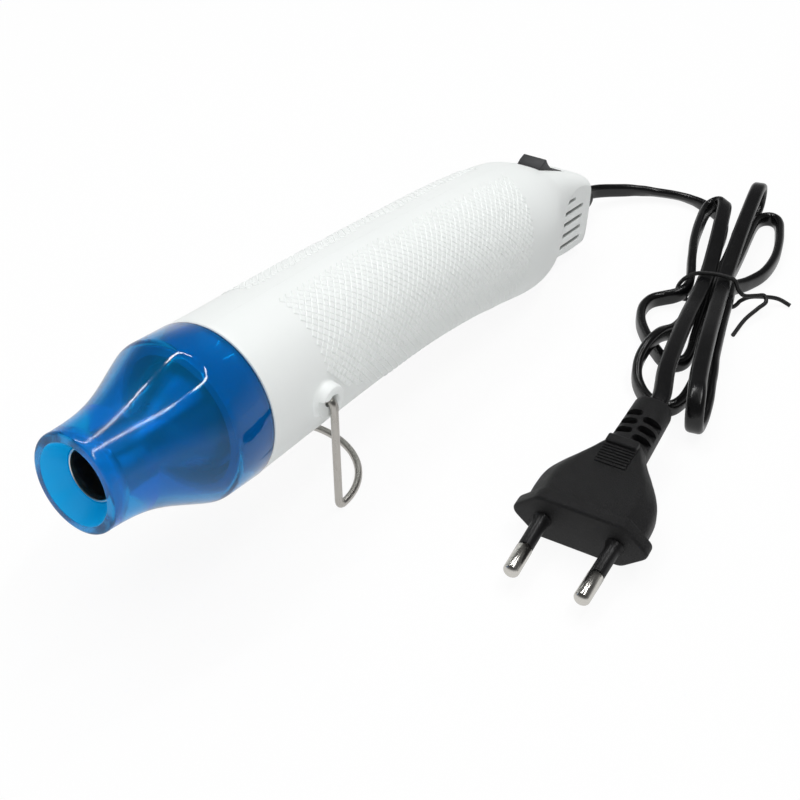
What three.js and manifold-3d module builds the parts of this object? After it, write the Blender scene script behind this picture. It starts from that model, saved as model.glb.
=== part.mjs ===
// A small craft hot air tool on its wire stand, with its tied mains lead.
// Millimetres, +Z up. The tool's own axis is X, from 0 at the mouth to the tail; -Y is the left side.
import * as THREE from 'three';
import { mergeVertices } from 'three/addons/utils/BufferGeometryUtils.js';
import Module from 'manifold-3d';

const wasm = await Module();
wasm.setup();

// Fits and walls
const GAP = 0.3; // between pieces that touch in the real tool
const SPLIT = 0.15; // half of the gap in the parting plane of the shells
const SHELL_WALL = 2.0;
const STEEL = 0.5;
const PAST = 1.0; // how far a cutter goes past the face it cuts

// Nozzle shield
const MOUTH_R = 12.0;
const MOUTH_BORE_R = 9.8;
const FUNNEL_DEPTH = 4.7;
const LIP_EDGE = 0.5;
const LIP_WALL = 1.4;
const FLARE_START = 15.0; // how far the neck runs straight before it flares
const FLARE_BEND = 19.0;
const FLARE_BEND_R = 15.5;
const FLARE_END = 30.0;
const COLLAR_R = 20.25;
const COLLAR_END = 41.1;
const SHIELD_WALL = 1.65;

// Outlet tube and heater
const OUTLET_R = 6.6;
const OUTLET_STRAIGHT = 17.0;
const OUTLET_CONE = 11.0;
const BARREL_R = 13.7;
const BARREL_END = 92.0;
const MICA = 0.5;
const SLEEVE_LENGTH = 50.0;
const CARD_LENGTH = 46.0;
const COIL_WIRE_R = 0.5;
const COIL_SPACE = 0.45; // between the corners of the wound wire and the sleeve
const COIL_TURNS = 8;
const COIL_PITCH = 4.0;
const COIL_STEPS = 8; // flats in a turn
const COIL_SIDES = 5;
const HOLDER_THICK = 3.2;
const HOLDER_RIM = 2.2;
const SPOKE = 2.6;
const FUSE_R = 1.9;
const FUSE_LENGTH = 7.6;

// Shells
const BODY_R = 20.25; // the sections of the shells are proportioned to it
const TAIL_LENGTH = 66.2; // from the motor's rear to the tail end
const TAIL_ROUND = 4.5;
const TAIL_ROUND_INSIDE = 1.2;
const FLUSH = 0.15; // the shells stand this much inside the collar
const SPIGOT_LENGTH = 11.0;
const RIB = 2.0;
const RIB_FRONT = 50.0;
const RIB_REAR = 86.0;

// Wire stand and its pivot
const PIVOT_X = 59.8;
const WIRE_R = 1.0;
const LEG = 32.6;
const LEG_CLEAR = 1.25; // between a leg and the collar when the stand is folded
const WIRE_BEND = 2.6;
const WIRE_TURN_IN = 3.6;
const PIVOT_BOSS_R = 4.2;
const PIVOT_HOLE_R = 1.7;
const RIM_OVER = 0.4; // the rim of the boss stands this much past the middle of the wire
const STOP_ROOM = 0.6; // between the wire and the edges of the rim that stop it

// Fan and motor
const FAN_AXIS_Z = 2.3;
const FAN_X = 104.0;
const FAN_DEPTH = 10.0;
const FAN_R = 15.6;
const HUB_R = 4.2;
const BLADES = 6;
const BLADE_ROOT = 1.0; // how deep the blades start in the hub
const BLADE_INSET = 1.0; // from the hub's ends to the blades
const BLADE_THICK = 1.0;
const BLADE_PITCH = 35;
const BLADE_TWIST = 18;
const SHAFT_R = 1.0;
const SHAFT_PROUD = 1.0; // ahead of the fan
const MOTOR_X = 119.0;
const MOTOR_R = 12.2;
const MOTOR_LENGTH = 30.8;
const BORE_FLOOR = 3.0;
const CAN_EDGE = 1.0;
const BEARING_R = 3.5;
const BEARING_LENGTH = 1.8;
const CAP_THICK = 2.9;
const CAP_INSET = 0.5;
const CAP_DRAFT = 0.7;
const TERMINAL_LENGTH = 1.4;
const HOLDER_LENGTH = 16.0;
const HOLDER_WALL = 1.6;
const ARM = 4.0;
const BOARD_R = 11.0;
const BOARD_THICK = 1.2;
const DIODE_R = 1.3;
const DIODE_LENGTH = 5.0;
const DIODE_ROW = 4.5;
const DIODE_ASIDE = 1.0; // from the middle to a diode's end

// Screws that close the shells
const SCREW_BOSS_R = 3.2;
const SCREW_R = 1.2;
const SCREW_HEAD_R = 2.3;
const SCREW_HEAD = 1.6;
const SCREW_REACH = 9.0; // how far the screw goes past the parting plane
const SCREW_FRONT = 98.0;
const SCREW_FRONT_TOP = 14.5;
const SCREW_FRONT_LOW = -10.5;
const SCREW_REAR = 56.0; // ahead of the tail end
const SCREW_REAR_TOP = 13.0;
const SCREW_REAR_LOW = -14.0;

// Tail panel and its slots
const PANEL_Y = 12.5;
const PANEL_WALL = 1.6;
const PANEL_FRONT = 23.0; // the arch starts this far ahead of the tail end
const PANEL_SHOULDER = 9.0;
const PANEL_TOP = 7.4;
const PANEL_BOTTOM = -15.3;
const PANEL_SLOPE = 0.1;
const SLOTS = 5;
const SLOT_HEIGHT = 1.3;
const SLOT_PITCH = 3.75;
const SLOT_TOP = 3.75;
const SLOT_FRONT = 22.3;
const SLOT_LENGTH = 14.8;
const SHORT_SLOT_LENGTH = 6.3;
const SHORT_SLOT_BACK = 1.4; // how much later the short slot starts

// Rocker switch in the sloping top of the tail
const ROCKER_AHEAD = 17.4; // from the tail end to the middle of the rocker
const ROCKER_Z = 12.1;
const ROCKER_SLOPE = 17.6;
const ROCKER_WIDTH = 8.2;
const ROCKER_REACH = 9.5; // from the rocker's pin to its end faces
const ROCKER_PIN_DEPTH = 4.2;
const ROCKER_PIN_R = 1.0;
const ROCKER_RIDGE = 2.0;
const ROCKER_RIDGE_U = 7.0;
const ROCKER_VALLEY = 0.6;
const ROCKER_THROW = 13;
const HOLE_EXTRA = 0.1; // the hole in the shells over the pocket in the switch body
const PIN_CLEAR = 0.14;
const ROCKER_KEEL = 0.4; // under the rocker's pin
const SWITCH_WALL = 2.0;
const SWITCH_DEPTH = 11.0;
const SWITCH_POCKET = 5.2;
const TERMINAL_WIDTH = 3.0;
const TERMINAL_THICK = 0.8;
const SWITCH_TERMINAL_LENGTH = 5.0;

// Cord gland
const GLAND_Z = -9.5;
const GLAND_R = 5.6;
const GLAND_END_R = 3.6;
const GLAND_LENGTH = 20.0;
const GLAND_NECK_R = 3.5;
const GLAND_FLANGE_R = 4.4;
const GLAND_FLANGE = 2.0;
const GLAND_RIBS = 4;
const GLAND_GROOVE = 0.6;

// Flat twin cord, its hank and the tie
const CORD_WIDE = 5.0;
const CORD_THIN = 2.8;
const CORD_SPACE = 0.5; // between neighbouring passes at the waist
const HANK_X = 141.0; // from the stand's pivot
const HANK_Y = -62.0;
const HANK_TURN = 14.1;
const WAIST_S = 1.0; // where the tie goes round
const WAIST = 5.0; // half the length of a pass
const HANK_MOUTH = 15.0; // from the middle to where the free stretches start
const TIE_R = 0.65;
const TIE_SPACE = 0.45;
const TABLE_CLEAR = 0.05;
const LEAD_RISE = 0.2; // where the cord leaves the table for the waist
const STOP_STEPS = 2; // rings from one stop of a cord's route to the next

// Europlug
const PLUG_X = 19.0; // middle of the front face, from the stand's pivot
const PLUG_Y = -79.0;
const PLUG_YAW = 4.0;
const PLUG_PITCH = 6.0;
const PLUG_WIDTH = 34.4;
const PLUG_HEIGHT = 13.9;
const PLUG_BODY = 28.0;
const BOOT_LENGTH = 20.0;
const BOOT_WIDTH = 11.2;
const BOOT_HEIGHT = 9.8;
const BOOT_END_WIDTH = 10.2;
const BOOT_END_HEIGHT = 8.8;
const FLANGE = 3.7; // the full-width front of the plug
const FLANGE_STEP = 2.2;
const BOOT_SLOTS = 3;
const BOOT_SLOT = 2.1;
const BOOT_PITCH = 3.65;
const BOOT_SLOT_START = 2.5;
const BOOT_SLOT_DEPTH = 1.7;
const SPINE = 0.5;
const PAD_START = 18.0;
const PAD_BARS = 4;
const PAD_PITCH = 1.6;
const PAD_BAR = 1.0;
const PAD_HALF = 4.1;
const PAD_RISE = 0.3;
const LAST_BAR = 2.9;
const LAST_BAR_RISE = 1.0;
const BOOT_EASE = 0.6;
const PIN_R = 2.0;
const PIN_NOSE = 0.8;
const PIN_LENGTH = 19.0;
const PIN_PITCH = 18.6;
const PIN_TIP_PITCH = 17.5;
const PIN_ROOT = 7.0;
const SLEEVE_R = 1.9;
const SLEEVE_SEAT = 0.4; // from the plug's face to the sleeve
const PIN_SLEEVE_LENGTH = 10.0;
const PIN_CORE_R = 1.3;

// Facet counts
const ROUND = 30; // what shows
const INNER_ROUND = 24; // what lies inside
const SMALL_ROUND = 12;

const rad = THREE.MathUtils.degToRad;

// Closed solids: only positions, shared corners merged, faces outward.
function closed(geometry) {
  const bare = new THREE.BufferGeometry();
  bare.setAttribute('position', geometry.getAttribute('position').clone());
  if (geometry.index) bare.setIndex(geometry.index.clone());
  const merged = mergeVertices(bare, 1e-4);
  const points = merged.getAttribute('position');
  const source = merged.index.array;
  const kept = [];
  const a = new THREE.Vector3();
  const b = new THREE.Vector3();
  const c = new THREE.Vector3();
  let volume = 0;
  for (let i = 0; i < source.length; i += 3) {
    const [p, q, r] = [source[i], source[i + 1], source[i + 2]];
    if (p === q || q === r || r === p) continue;
    kept.push(p, q, r);
    a.fromBufferAttribute(points, p);
    b.fromBufferAttribute(points, q);
    c.fromBufferAttribute(points, r);
    volume += a.dot(b.cross(c));
  }
  if (volume < 0) kept.reverse();
  merged.setIndex(kept);
  return merged;
}

function toManifold(geometry) {
  const body = closed(geometry);
  const vertProperties = new Float32Array(body.getAttribute('position').array);
  const triVerts = new Uint32Array(body.index.array);
  return new wasm.Manifold(new wasm.Mesh({ numProp: 3, vertProperties, triVerts }));
}

function fromManifold(solid) {
  const mesh = solid.getMesh();
  const positions = new Float32Array(mesh.numVert * 3);
  for (let i = 0; i < mesh.numVert; i += 1) {
    for (let k = 0; k < 3; k += 1) positions[3 * i + k] = mesh.vertProperties[i * mesh.numProp + k];
  }
  const geometry = new THREE.BufferGeometry();
  geometry.setAttribute('position', new THREE.BufferAttribute(positions, 3));
  geometry.setIndex(Array.from(mesh.triVerts));
  return geometry;
}

function join(first, ...others) {
  return fromManifold(others.reduce((sum, one) => sum.add(toManifold(one)), toManifold(first)));
}

function cut(first, ...others) {
  return fromManifold(others.reduce((rest, one) => rest.subtract(toManifold(one)), toManifold(first)));
}

function common(first, second) {
  return fromManifold(toManifold(first).intersect(toManifold(second)));
}

// Basic forms
function box(x0, x1, y0, y1, z0, z1) {
  const geometry = new THREE.BoxGeometry(x1 - x0, y1 - y0, z1 - z0);
  return geometry.translate((x0 + x1) / 2, (y0 + y1) / 2, (z0 + z1) / 2);
}

// A body turned about X from its (radius, x) profile.
function turned(profile, sides = ROUND) {
  const points = profile.map(([r, x]) => new THREE.Vector2(r, x));
  return new THREE.LatheGeometry(points, sides).rotateZ(-Math.PI / 2);
}

function rodX(r, x0, x1, sides = ROUND) {
  return turned([[0, x0], [r, x0], [r, x1], [0, x1]], sides);
}

function ringX(outer, inner, x0, x1, sides = ROUND) {
  return turned([[inner, x0], [outer, x0], [outer, x1], [inner, x1], [inner, x0]], sides);
}

function rodY(r, y0, y1, x, z, sides = SMALL_ROUND) {
  return new THREE.CylinderGeometry(r, r, y1 - y0, sides).translate(x, (y0 + y1) / 2, z);
}

// A plate cut to a side outline of (x, z) points, from y0 to y1.
function plate(shape, y0, y1) {
  const geometry = new THREE.ExtrudeGeometry(shape, { depth: y1 - y0, bevelEnabled: false, curveSegments: 3 });
  return geometry.rotateX(Math.PI / 2).translate(0, y1, 0);
}

// A skin over rings of equal point counts, closed by a fan at each end.
function loft(rings) {
  const count = rings[0].length;
  const positions = [];
  const index = [];
  rings.forEach((ring) => ring.forEach((p) => positions.push(p.x, p.y, p.z)));
  for (let i = 0; i + 1 < rings.length; i += 1) {
    for (let k = 0; k < count; k += 1) {
      const a = i * count + k;
      const b = i * count + ((k + 1) % count);
      index.push(a, b, a + count, b, b + count, a + count);
    }
  }
  [0, rings.length - 1].forEach((i) => {
    const middle = rings[i].reduce((sum, p) => sum.add(p), new THREE.Vector3()).divideScalar(count);
    const centre = positions.length / 3;
    positions.push(middle.x, middle.y, middle.z);
    for (let k = 0; k < count; k += 1) {
      const a = i * count + k;
      const b = i * count + ((k + 1) % count);
      if (i === 0) index.push(centre, b, a);
      else index.push(centre, a, b);
    }
  });
  const geometry = new THREE.BufferGeometry();
  geometry.setAttribute('position', new THREE.Float32BufferAttribute(positions, 3));
  geometry.setIndex(index);
  return closed(geometry);
}

// A squared-off oval across X.
function oval(x, halfWidth, top, bottom, squareness, count = 28) {
  const ring = [];
  for (let k = 0; k < count; k += 1) {
    const angle = (2 * Math.PI * k) / count;
    const across = Math.sign(Math.cos(angle)) * Math.abs(Math.cos(angle)) ** (2 / squareness);
    const up = Math.sign(Math.sin(angle)) * Math.abs(Math.sin(angle)) ** (2 / squareness);
    ring.push(new THREE.Vector3(x, halfWidth * across, (top + bottom) / 2 + ((top - bottom) / 2) * up));
  }
  return ring;
}

// A rounded bar along X in a side view, for slots.
function slotShape(x0, x1, z, height) {
  const r = height / 2;
  const shape = new THREE.Shape();
  shape.absarc(x0 + r, z, r, Math.PI / 2, 1.5 * Math.PI, false);
  shape.absarc(x1 - r, z, r, -Math.PI / 2, Math.PI / 2, false);
  return shape;
}

const object = new THREE.Group();
const bench = new THREE.Group(); // on the table, with the stand's pivot over its origin
const tool = new THREE.Group(); // the tool's own axes
object.add(bench);
bench.add(tool);

function piece(parent, name, geometry, color, roughness, metalness = 0) {
  const body = closed(geometry);
  body.computeVertexNormals();
  const mesh = new THREE.Mesh(body, new THREE.MeshStandardMaterial({ color, roughness, metalness }));
  mesh.name = name;
  parent.add(mesh);
  return mesh;
}

// Nozzle shield: a moulded funnel mouth, a flared neck and a collar that slips over the shells' spigot.
const COLLAR_BORE_R = COLLAR_R - SHIELD_WALL - GAP;
const SPIGOT_R = COLLAR_BORE_R - GAP;
const flare = new THREE.CubicBezierCurve(
  new THREE.Vector2(MOUTH_R, LIP_EDGE),
  new THREE.Vector2(MOUTH_R, FLARE_START),
  new THREE.Vector2(FLARE_BEND_R, FLARE_BEND),
  new THREE.Vector2(COLLAR_R, FLARE_END),
);
const flarePoints = flare.getPoints(8).map((p) => [p.x, p.y]);
const lipBack = FUNNEL_DEPTH + LIP_WALL;
const innerFlare = flarePoints
  .map(([r, x]) => [Math.min(r - SHIELD_WALL, COLLAR_BORE_R), x + SHIELD_WALL / 2])
  .filter(([, x]) => x > lipBack + SHIELD_WALL)
  .reverse();
const outletHoleR = OUTLET_R + GAP;
piece(tool, 'nozzle_shield', turned([
  [MOUTH_BORE_R, 0],
  [MOUTH_R - LIP_EDGE, 0],
  ...flarePoints,
  [COLLAR_R, COLLAR_END],
  [COLLAR_BORE_R, COLLAR_END],
  ...innerFlare,
  [MOUTH_R - SHIELD_WALL, lipBack],
  [outletHoleR, lipBack],
  [outletHoleR, FUNNEL_DEPTH],
  [MOUTH_BORE_R, 0],
]), 0x0b4fa0, 0.12);

// Outlet tube: drawn steel, a thin outlet, a cone and the barrel that holds the heater.
const coneStart = FUNNEL_DEPTH + OUTLET_STRAIGHT;
const barrelStart = coneStart + OUTLET_CONE;
const barrelBore = BARREL_R - STEEL;
piece(tool, 'outlet_tube', turned([
  [OUTLET_R - STEEL, FUNNEL_DEPTH],
  [OUTLET_R, FUNNEL_DEPTH],
  [OUTLET_R, coneStart],
  [BARREL_R, barrelStart],
  [BARREL_R, BARREL_END],
  [barrelBore, BARREL_END],
  [barrelBore, barrelStart],
  [OUTLET_R - STEEL, coneStart],
  [OUTLET_R - STEEL, FUNNEL_DEPTH],
], INNER_ROUND), 0x55585c, 0.35, 1);

// Heater: a mica sleeve, two interlocking mica cards, the coil wound round them and a spoked holder behind.
const sleeveR = barrelBore - GAP;
const sleeveEnd = BARREL_END - HOLDER_THICK - 2 * GAP;
const sleeve = ringX(sleeveR, sleeveR - MICA, sleeveEnd - SLEEVE_LENGTH, sleeveEnd, INNER_ROUND);
piece(tool, 'mica_sleeve', sleeve, 0xb9a888, 0.6);

const cardEnd = sleeveEnd;
const cardStart = cardEnd - CARD_LENGTH;
const coilCorner = sleeveR - MICA - COIL_SPACE - COIL_WIRE_R;
const coilFlat = coilCorner * Math.cos(Math.PI / COIL_STEPS);
const cardHalf = coilFlat - COIL_WIRE_R - GAP;
const tabHalf = sleeveR - MICA - GAP;
const coilLength = COIL_TURNS * COIL_PITCH;
const tabLength = (CARD_LENGTH - coilLength) / 2 - COIL_WIRE_R - GAP;
function micaCard(slotFromFront) {
  const t = MICA / 2;
  const middle = (cardStart + cardEnd) / 2;
  const slot = slotFromFront ? [cardStart - 1, middle + GAP] : [middle - GAP, cardEnd + 1];
  return cut(
    join(
      box(cardStart, cardEnd, -t, t, -cardHalf, cardHalf),
      box(cardStart, cardStart + tabLength, -t, t, -tabHalf, tabHalf),
      box(cardEnd - tabLength, cardEnd, -t, t, -tabHalf, tabHalf),
    ),
    box(slot[0], slot[1], -2 * t, 2 * t, -t - GAP, t + GAP),
  );
}
piece(tool, 'mica_card_upright', micaCard(true), 0xc9bd9c, 0.6);
piece(tool, 'mica_card_flat', micaCard(false).rotateX(Math.PI / 2), 0xc9bd9c, 0.6);

// A tube of any section along a sampled route: each stop has a place and the direction of the section's y.
function sweep(stops, section) {
  const rings = stops.map(({ at, wide }, i) => {
    const before = stops[Math.max(0, i - 1)].at;
    const after = stops[Math.min(stops.length - 1, i + 1)].at;
    const along = after.clone().sub(before).normalize();
    const y = wide.clone().addScaledVector(along, -wide.dot(along)).normalize();
    const x = along.clone().cross(y);
    return section.map(([u, v]) => at.clone().addScaledVector(x, u).addScaledVector(y, v));
  });
  return { rings, geometry: loft(rings) };
}

// The least gap between stretches of one tube that lie further apart along it than a few thicknesses.
function leastGap(rings, spacing, skip) {
  let least = Infinity;
  const hop = Math.ceil(skip / spacing);
  for (let i = 0; i < rings.length; i += 1) {
    for (let j = i + hop; j < rings.length; j += 1) {
      if (rings[i][0].distanceTo(rings[j][0]) > 4 * CORD_WIDE) continue;
      for (const p of rings[i]) {
        for (const q of rings[j]) least = Math.min(least, p.distanceTo(q));
      }
    }
  }
  return least;
}

function roundSection(r, sides) {
  return Array.from({ length: sides }, (_, k) => {
    const angle = (2 * Math.PI * (k + 0.5)) / sides;
    return [r * Math.cos(angle), r * Math.sin(angle)];
  });
}

const coilStops = [];
for (let i = 0; i <= COIL_TURNS * COIL_STEPS; i += 1) {
  const angle = (2 * Math.PI * i) / COIL_STEPS;
  const x = (cardStart + cardEnd - coilLength) / 2 + (COIL_PITCH * i) / COIL_STEPS;
  const out = new THREE.Vector3(0, Math.cos(angle), Math.sin(angle));
  coilStops.push({ at: out.clone().multiplyScalar(coilCorner).setX(x), wide: out });
}
piece(tool, 'heater_coil', sweep(coilStops, roundSection(COIL_WIRE_R, COIL_SIDES)).geometry, 0x8d8f92, 0.4, 1);

const holderStart = BARREL_END - HOLDER_THICK - GAP;
piece(tool, 'heater_holder', join(
  ringX(sleeveR, sleeveR - HOLDER_RIM, holderStart, holderStart + HOLDER_THICK, INNER_ROUND),
  box(holderStart, holderStart + HOLDER_THICK, -sleeveR + 1, sleeveR - 1, -SPOKE / 2, SPOKE / 2),
  box(holderStart, holderStart + HOLDER_THICK, -SPOKE / 2, SPOKE / 2, -sleeveR + 1, sleeveR - 1),
), 0xe4e0d6, 0.7);

const fuseStart = holderStart + HOLDER_THICK + GAP;
piece(tool, 'thermal_fuse', rodX(FUSE_R, fuseStart, fuseStart + FUSE_LENGTH, SMALL_ROUND), 0xd7cfbe, 0.5);

// The shells' outline: sections from the collar to the hip and the narrower tail, blended into one loft.
// Each: share of the way to the tail end, then half width, top, bottom in body radii, and squareness.
const bodyStart = COLLAR_END + GAP;
const tailEnd = MOTOR_X + MOTOR_LENGTH + TAIL_LENGTH;
const tailStart = tailEnd - TAIL_ROUND;
const frontR = COLLAR_R - FLUSH;
const shares = [
  [0.1065, 0.983, 1.0173, -0.9383, 2],
  [0.2784, 0.963, 1.0568, -0.8691, 2],
  [0.4215, 0.958, 1.0667, -0.8395, 2],
  [0.5647, 0.983, 1.0617, -0.9037, 2],
  [0.6678, 1.022, 1.0321, -1.0173, 2],
  [0.7423, 1.037, 0.9877, -1.1012, 2],
  [0.7824, 0.9975, 0.9383, -1.0815, 2.1],
  [0.8167, 0.9086, 0.8543, -1.0272, 2.3],
  [0.8511, 0.7704, 0.7407, -0.9333, 2.6],
  [0.8797, 0.6765, 0.6617, -0.879, 3],
  [0.9255, 0.6519, 0.5284, -0.8543, 3.2],
];
const TAIL_SHARES = [0.637, 0.3802, -0.8395];
const TAIL_SQUARE = 3.5;
const sections = [
  [bodyStart, frontR, frontR, -frontR, 2],
  ...shares.map(([share, halfWidth, top, bottom, squareness]) => [
    bodyStart + share * (tailEnd - bodyStart),
    halfWidth * BODY_R,
    top * BODY_R,
    bottom * BODY_R,
    squareness,
  ]),
  [tailStart, ...TAIL_SHARES.map((share) => share * BODY_R), TAIL_SQUARE],
];
const sides = new THREE.CatmullRomCurve3(
  sections.map(([x, halfWidth, top]) => new THREE.Vector3(x, halfWidth, top)),
  false,
  'catmullrom',
);
const bases = new THREE.CatmullRomCurve3(
  sections.map(([x, , , bottom, squareness]) => new THREE.Vector3(x, bottom, squareness)),
  false,
  'catmullrom',
);
const STATIONS = 17;
const TAIL_RINGS = 2;

// The outline drawn in by an even inset, from the front face to the rounded tail.
function hull(inset) {
  const rings = [];
  for (let i = 0; i <= STATIONS; i += 1) {
    const side = sides.getPoint(i / STATIONS);
    const base = bases.getPoint(i / STATIONS);
    const x = Math.max(side.x, bodyStart + inset);
    const squareness = Math.max(2, base.z);
    rings.push(oval(x, side.y - inset, side.z - inset, base.y + inset, squareness));
  }
  const [, halfWidth, top, bottom, squareness] = sections[sections.length - 1];
  const round = inset > 0 ? TAIL_ROUND_INSIDE : TAIL_ROUND;
  for (let i = 0; i <= TAIL_RINGS; i += 1) {
    const angle = (Math.PI / 2) * (i / TAIL_RINGS);
    const drawn = inset + round * (1 - Math.cos(angle));
    const x = tailEnd - inset - round + round * Math.sin(angle);
    rings.push(oval(x, halfWidth - drawn, top - drawn, bottom + drawn, squareness));
  }
  return loft(rings);
}

// Screw places: two beside the fan inlet and two behind the motor.
const screwPlaces = [
  [SCREW_FRONT, SCREW_FRONT_TOP],
  [SCREW_FRONT, SCREW_FRONT_LOW],
  [tailEnd - SCREW_REAR, SCREW_REAR_TOP],
  [tailEnd - SCREW_REAR, SCREW_REAR_LOW],
];
const legHalf = COLLAR_R + LEG_CLEAR + WIRE_R;
const bossFace = legHalf - WIRE_R - GAP;
const FAR = 40; // past the shells on every side

function ribSlab(x) {
  const slab = box(x - RIB / 2, x + RIB / 2, -FAR, FAR, -FAR, FAR);
  return cut(slab, rodX(BARREL_R + GAP, x - RIB, x + RIB, INNER_ROUND));
}

// Tail panel: a flat with an arched front, recessed into each side, with slots for the fan's air.
function panelShape(grow) {
  const start = tailEnd - PANEL_FRONT - grow;
  const shoulder = PANEL_TOP - PANEL_SHOULDER;
  const end = tailEnd + GAP;
  const shape = new THREE.Shape();
  shape.moveTo(start, PANEL_BOTTOM - grow);
  shape.lineTo(start, shoulder);
  shape.absarc(start + PANEL_SHOULDER + grow, shoulder, PANEL_SHOULDER + grow, Math.PI, Math.PI / 2, true);
  shape.lineTo(end, PANEL_TOP + grow - PANEL_SLOPE * (PANEL_FRONT - PANEL_SHOULDER));
  shape.lineTo(end, PANEL_BOTTOM - grow);
  shape.closePath();
  return shape;
}
function panelPlates(grow, depth) {
  return [plate(panelShape(grow), depth, FAR), plate(panelShape(grow), -FAR, -depth)];
}

// The hollow of the shells, with the heater ribs and screw bosses left standing in it.
const spigotStart = bodyStart - SPIGOT_LENGTH;
const spigotBore = rodX(SPIGOT_R - SHELL_WALL, spigotStart - PAST, bodyStart + SHELL_WALL + PAST);
const hollow = join(
  cut(
    hull(SHELL_WALL),
    ribSlab(RIB_FRONT),
    ribSlab(RIB_REAR),
    ...screwPlaces.map(([x, z]) => rodY(SCREW_BOSS_R, -FAR, FAR, x, z)),
    ...panelPlates(PANEL_WALL, PANEL_Y - PANEL_WALL),
  ),
  spigotBore,
);

const slotShapes = [];
for (let i = 0; i < SLOTS; i += 1) {
  const short = i === 0;
  const start = tailEnd - SLOT_FRONT + (short ? SHORT_SLOT_BACK : 0);
  const length = short ? SHORT_SLOT_LENGTH : SLOT_LENGTH;
  slotShapes.push(slotShape(start, start + length, SLOT_TOP - SLOT_PITCH * i, SLOT_HEIGHT));
}

// Places on the sloping top of the tail: u runs along the slope to the tail, h stands off it.
const rockerX = tailEnd - ROCKER_AHEAD;
function onSlope(geometry) {
  return geometry.rotateY(rad(ROCKER_SLOPE)).translate(rockerX, 0, ROCKER_Z);
}
const switchHoleU = ROCKER_REACH + GAP + HOLE_EXTRA;
const switchHoleY = ROCKER_WIDTH / 2 + GAP + HOLE_EXTRA;
const glandHole = rodX(GLAND_NECK_R + GAP, tailEnd - FAR / 4, tailEnd + PAST, SMALL_ROUND);
glandHole.translate(0, 0, GLAND_Z);

const WINDOWS = 4;
const WINDOW_WIDTH = 9.0;
const WINDOW_LENGTH = 5.0;
const windowCuts = Array.from({ length: WINDOWS }, (_, i) => {
  const start = spigotStart + (SPIGOT_LENGTH - WINDOW_LENGTH) / 2;
  const bar = box(start, start + WINDOW_LENGTH, -WINDOW_WIDTH / 2, WINDOW_WIDTH / 2, SPIGOT_R / 2, FAR);
  return bar.rotateX(Math.PI / 4 + (2 * Math.PI * i) / WINDOWS);
});

// The boss's rim goes round behind and above the wire, which turns in the open quarter of it.
const rimFace = legHalf + RIM_OVER;
const stopX = WIRE_R + STOP_ROOM;
const rimQuarters = [[bossFace, FAR], [-FAR, -bossFace]].map(([y0, y1]) =>
  box(PIVOT_X - FAR, PIVOT_X + stopX, y0, y1, -FAR, stopX));

const shellPair = cut(
  join(
    hull(0),
    rodX(SPIGOT_R, spigotStart, bodyStart + SHELL_WALL),
    cut(rodY(PIVOT_BOSS_R, -rimFace, rimFace, PIVOT_X, 0, INNER_ROUND), ...rimQuarters),
  ),
  hollow,
  common(rodY(PIVOT_BOSS_R, -FAR, FAR, PIVOT_X, 0, INNER_ROUND), hull(SHELL_WALL)),
  rodY(PIVOT_HOLE_R, -FAR, FAR, PIVOT_X, 0),
  ...panelPlates(0, PANEL_Y),
  ...slotShapes.map((shape) => plate(shape, PANEL_Y / 2, FAR)),
  ...slotShapes.map((shape) => plate(shape, -FAR, -PANEL_Y / 2)),
  onSlope(box(-switchHoleU, switchHoleU, -switchHoleY, switchHoleY, -2 * SHELL_WALL, FAR / 2)),
  glandHole,
  ...windowCuts,
);

// Half width of the shells at a screw, for the depth of its counterbore.
function halfWidthAt(x, z) {
  const near = sections.reduce((best, row) => (Math.abs(row[0] - x) < Math.abs(best[0] - x) ? row : best));
  const [, halfWidth, top, bottom] = near;
  const up = (z - (top + bottom) / 2) / ((top - bottom) / 2);
  return halfWidth * Math.sqrt(Math.max(0, 1 - up * up));
}

const HEAD_DEPTH = 4.0; // how far the heads sit below the surface
const seats = screwPlaces.map(([x, z]) => halfWidthAt(x, z) - HEAD_DEPTH - SCREW_HEAD);
const SHELL_ROUGHNESS = 0.45;
piece(tool, 'left_shell', cut(
  shellPair,
  box(-FAR, tailEnd + FAR, -SPLIT, FAR, -FAR, FAR),
  ...screwPlaces.map(([x, z]) => rodY(SCREW_R + GAP, -SCREW_REACH - GAP, FAR, x, z)),
), 0xf4f5f5, SHELL_ROUGHNESS);
piece(tool, 'right_shell', cut(
  shellPair,
  box(-FAR, tailEnd + FAR, -FAR, SPLIT, -FAR, FAR),
  ...screwPlaces.map(([x, z]) => rodY(SCREW_R + GAP, -FAR, FAR, x, z)),
  ...screwPlaces.map(([x, z], i) => rodY(SCREW_HEAD_R + GAP, seats[i], FAR, x, z)),
), 0xf4f5f5, SHELL_ROUGHNESS);

screwPlaces.forEach(([x, z], i) => {
  const seat = seats[i] + GAP;
  piece(tool, `screw_${i + 1}`, join(
    rodY(SCREW_R, -SCREW_REACH, seat + SCREW_HEAD / 2, x, z, 12),
    rodY(SCREW_HEAD_R, seat, seat + SCREW_HEAD, x, z, 12),
  ), 0x9a9da1, 0.35, 1);
});

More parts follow.
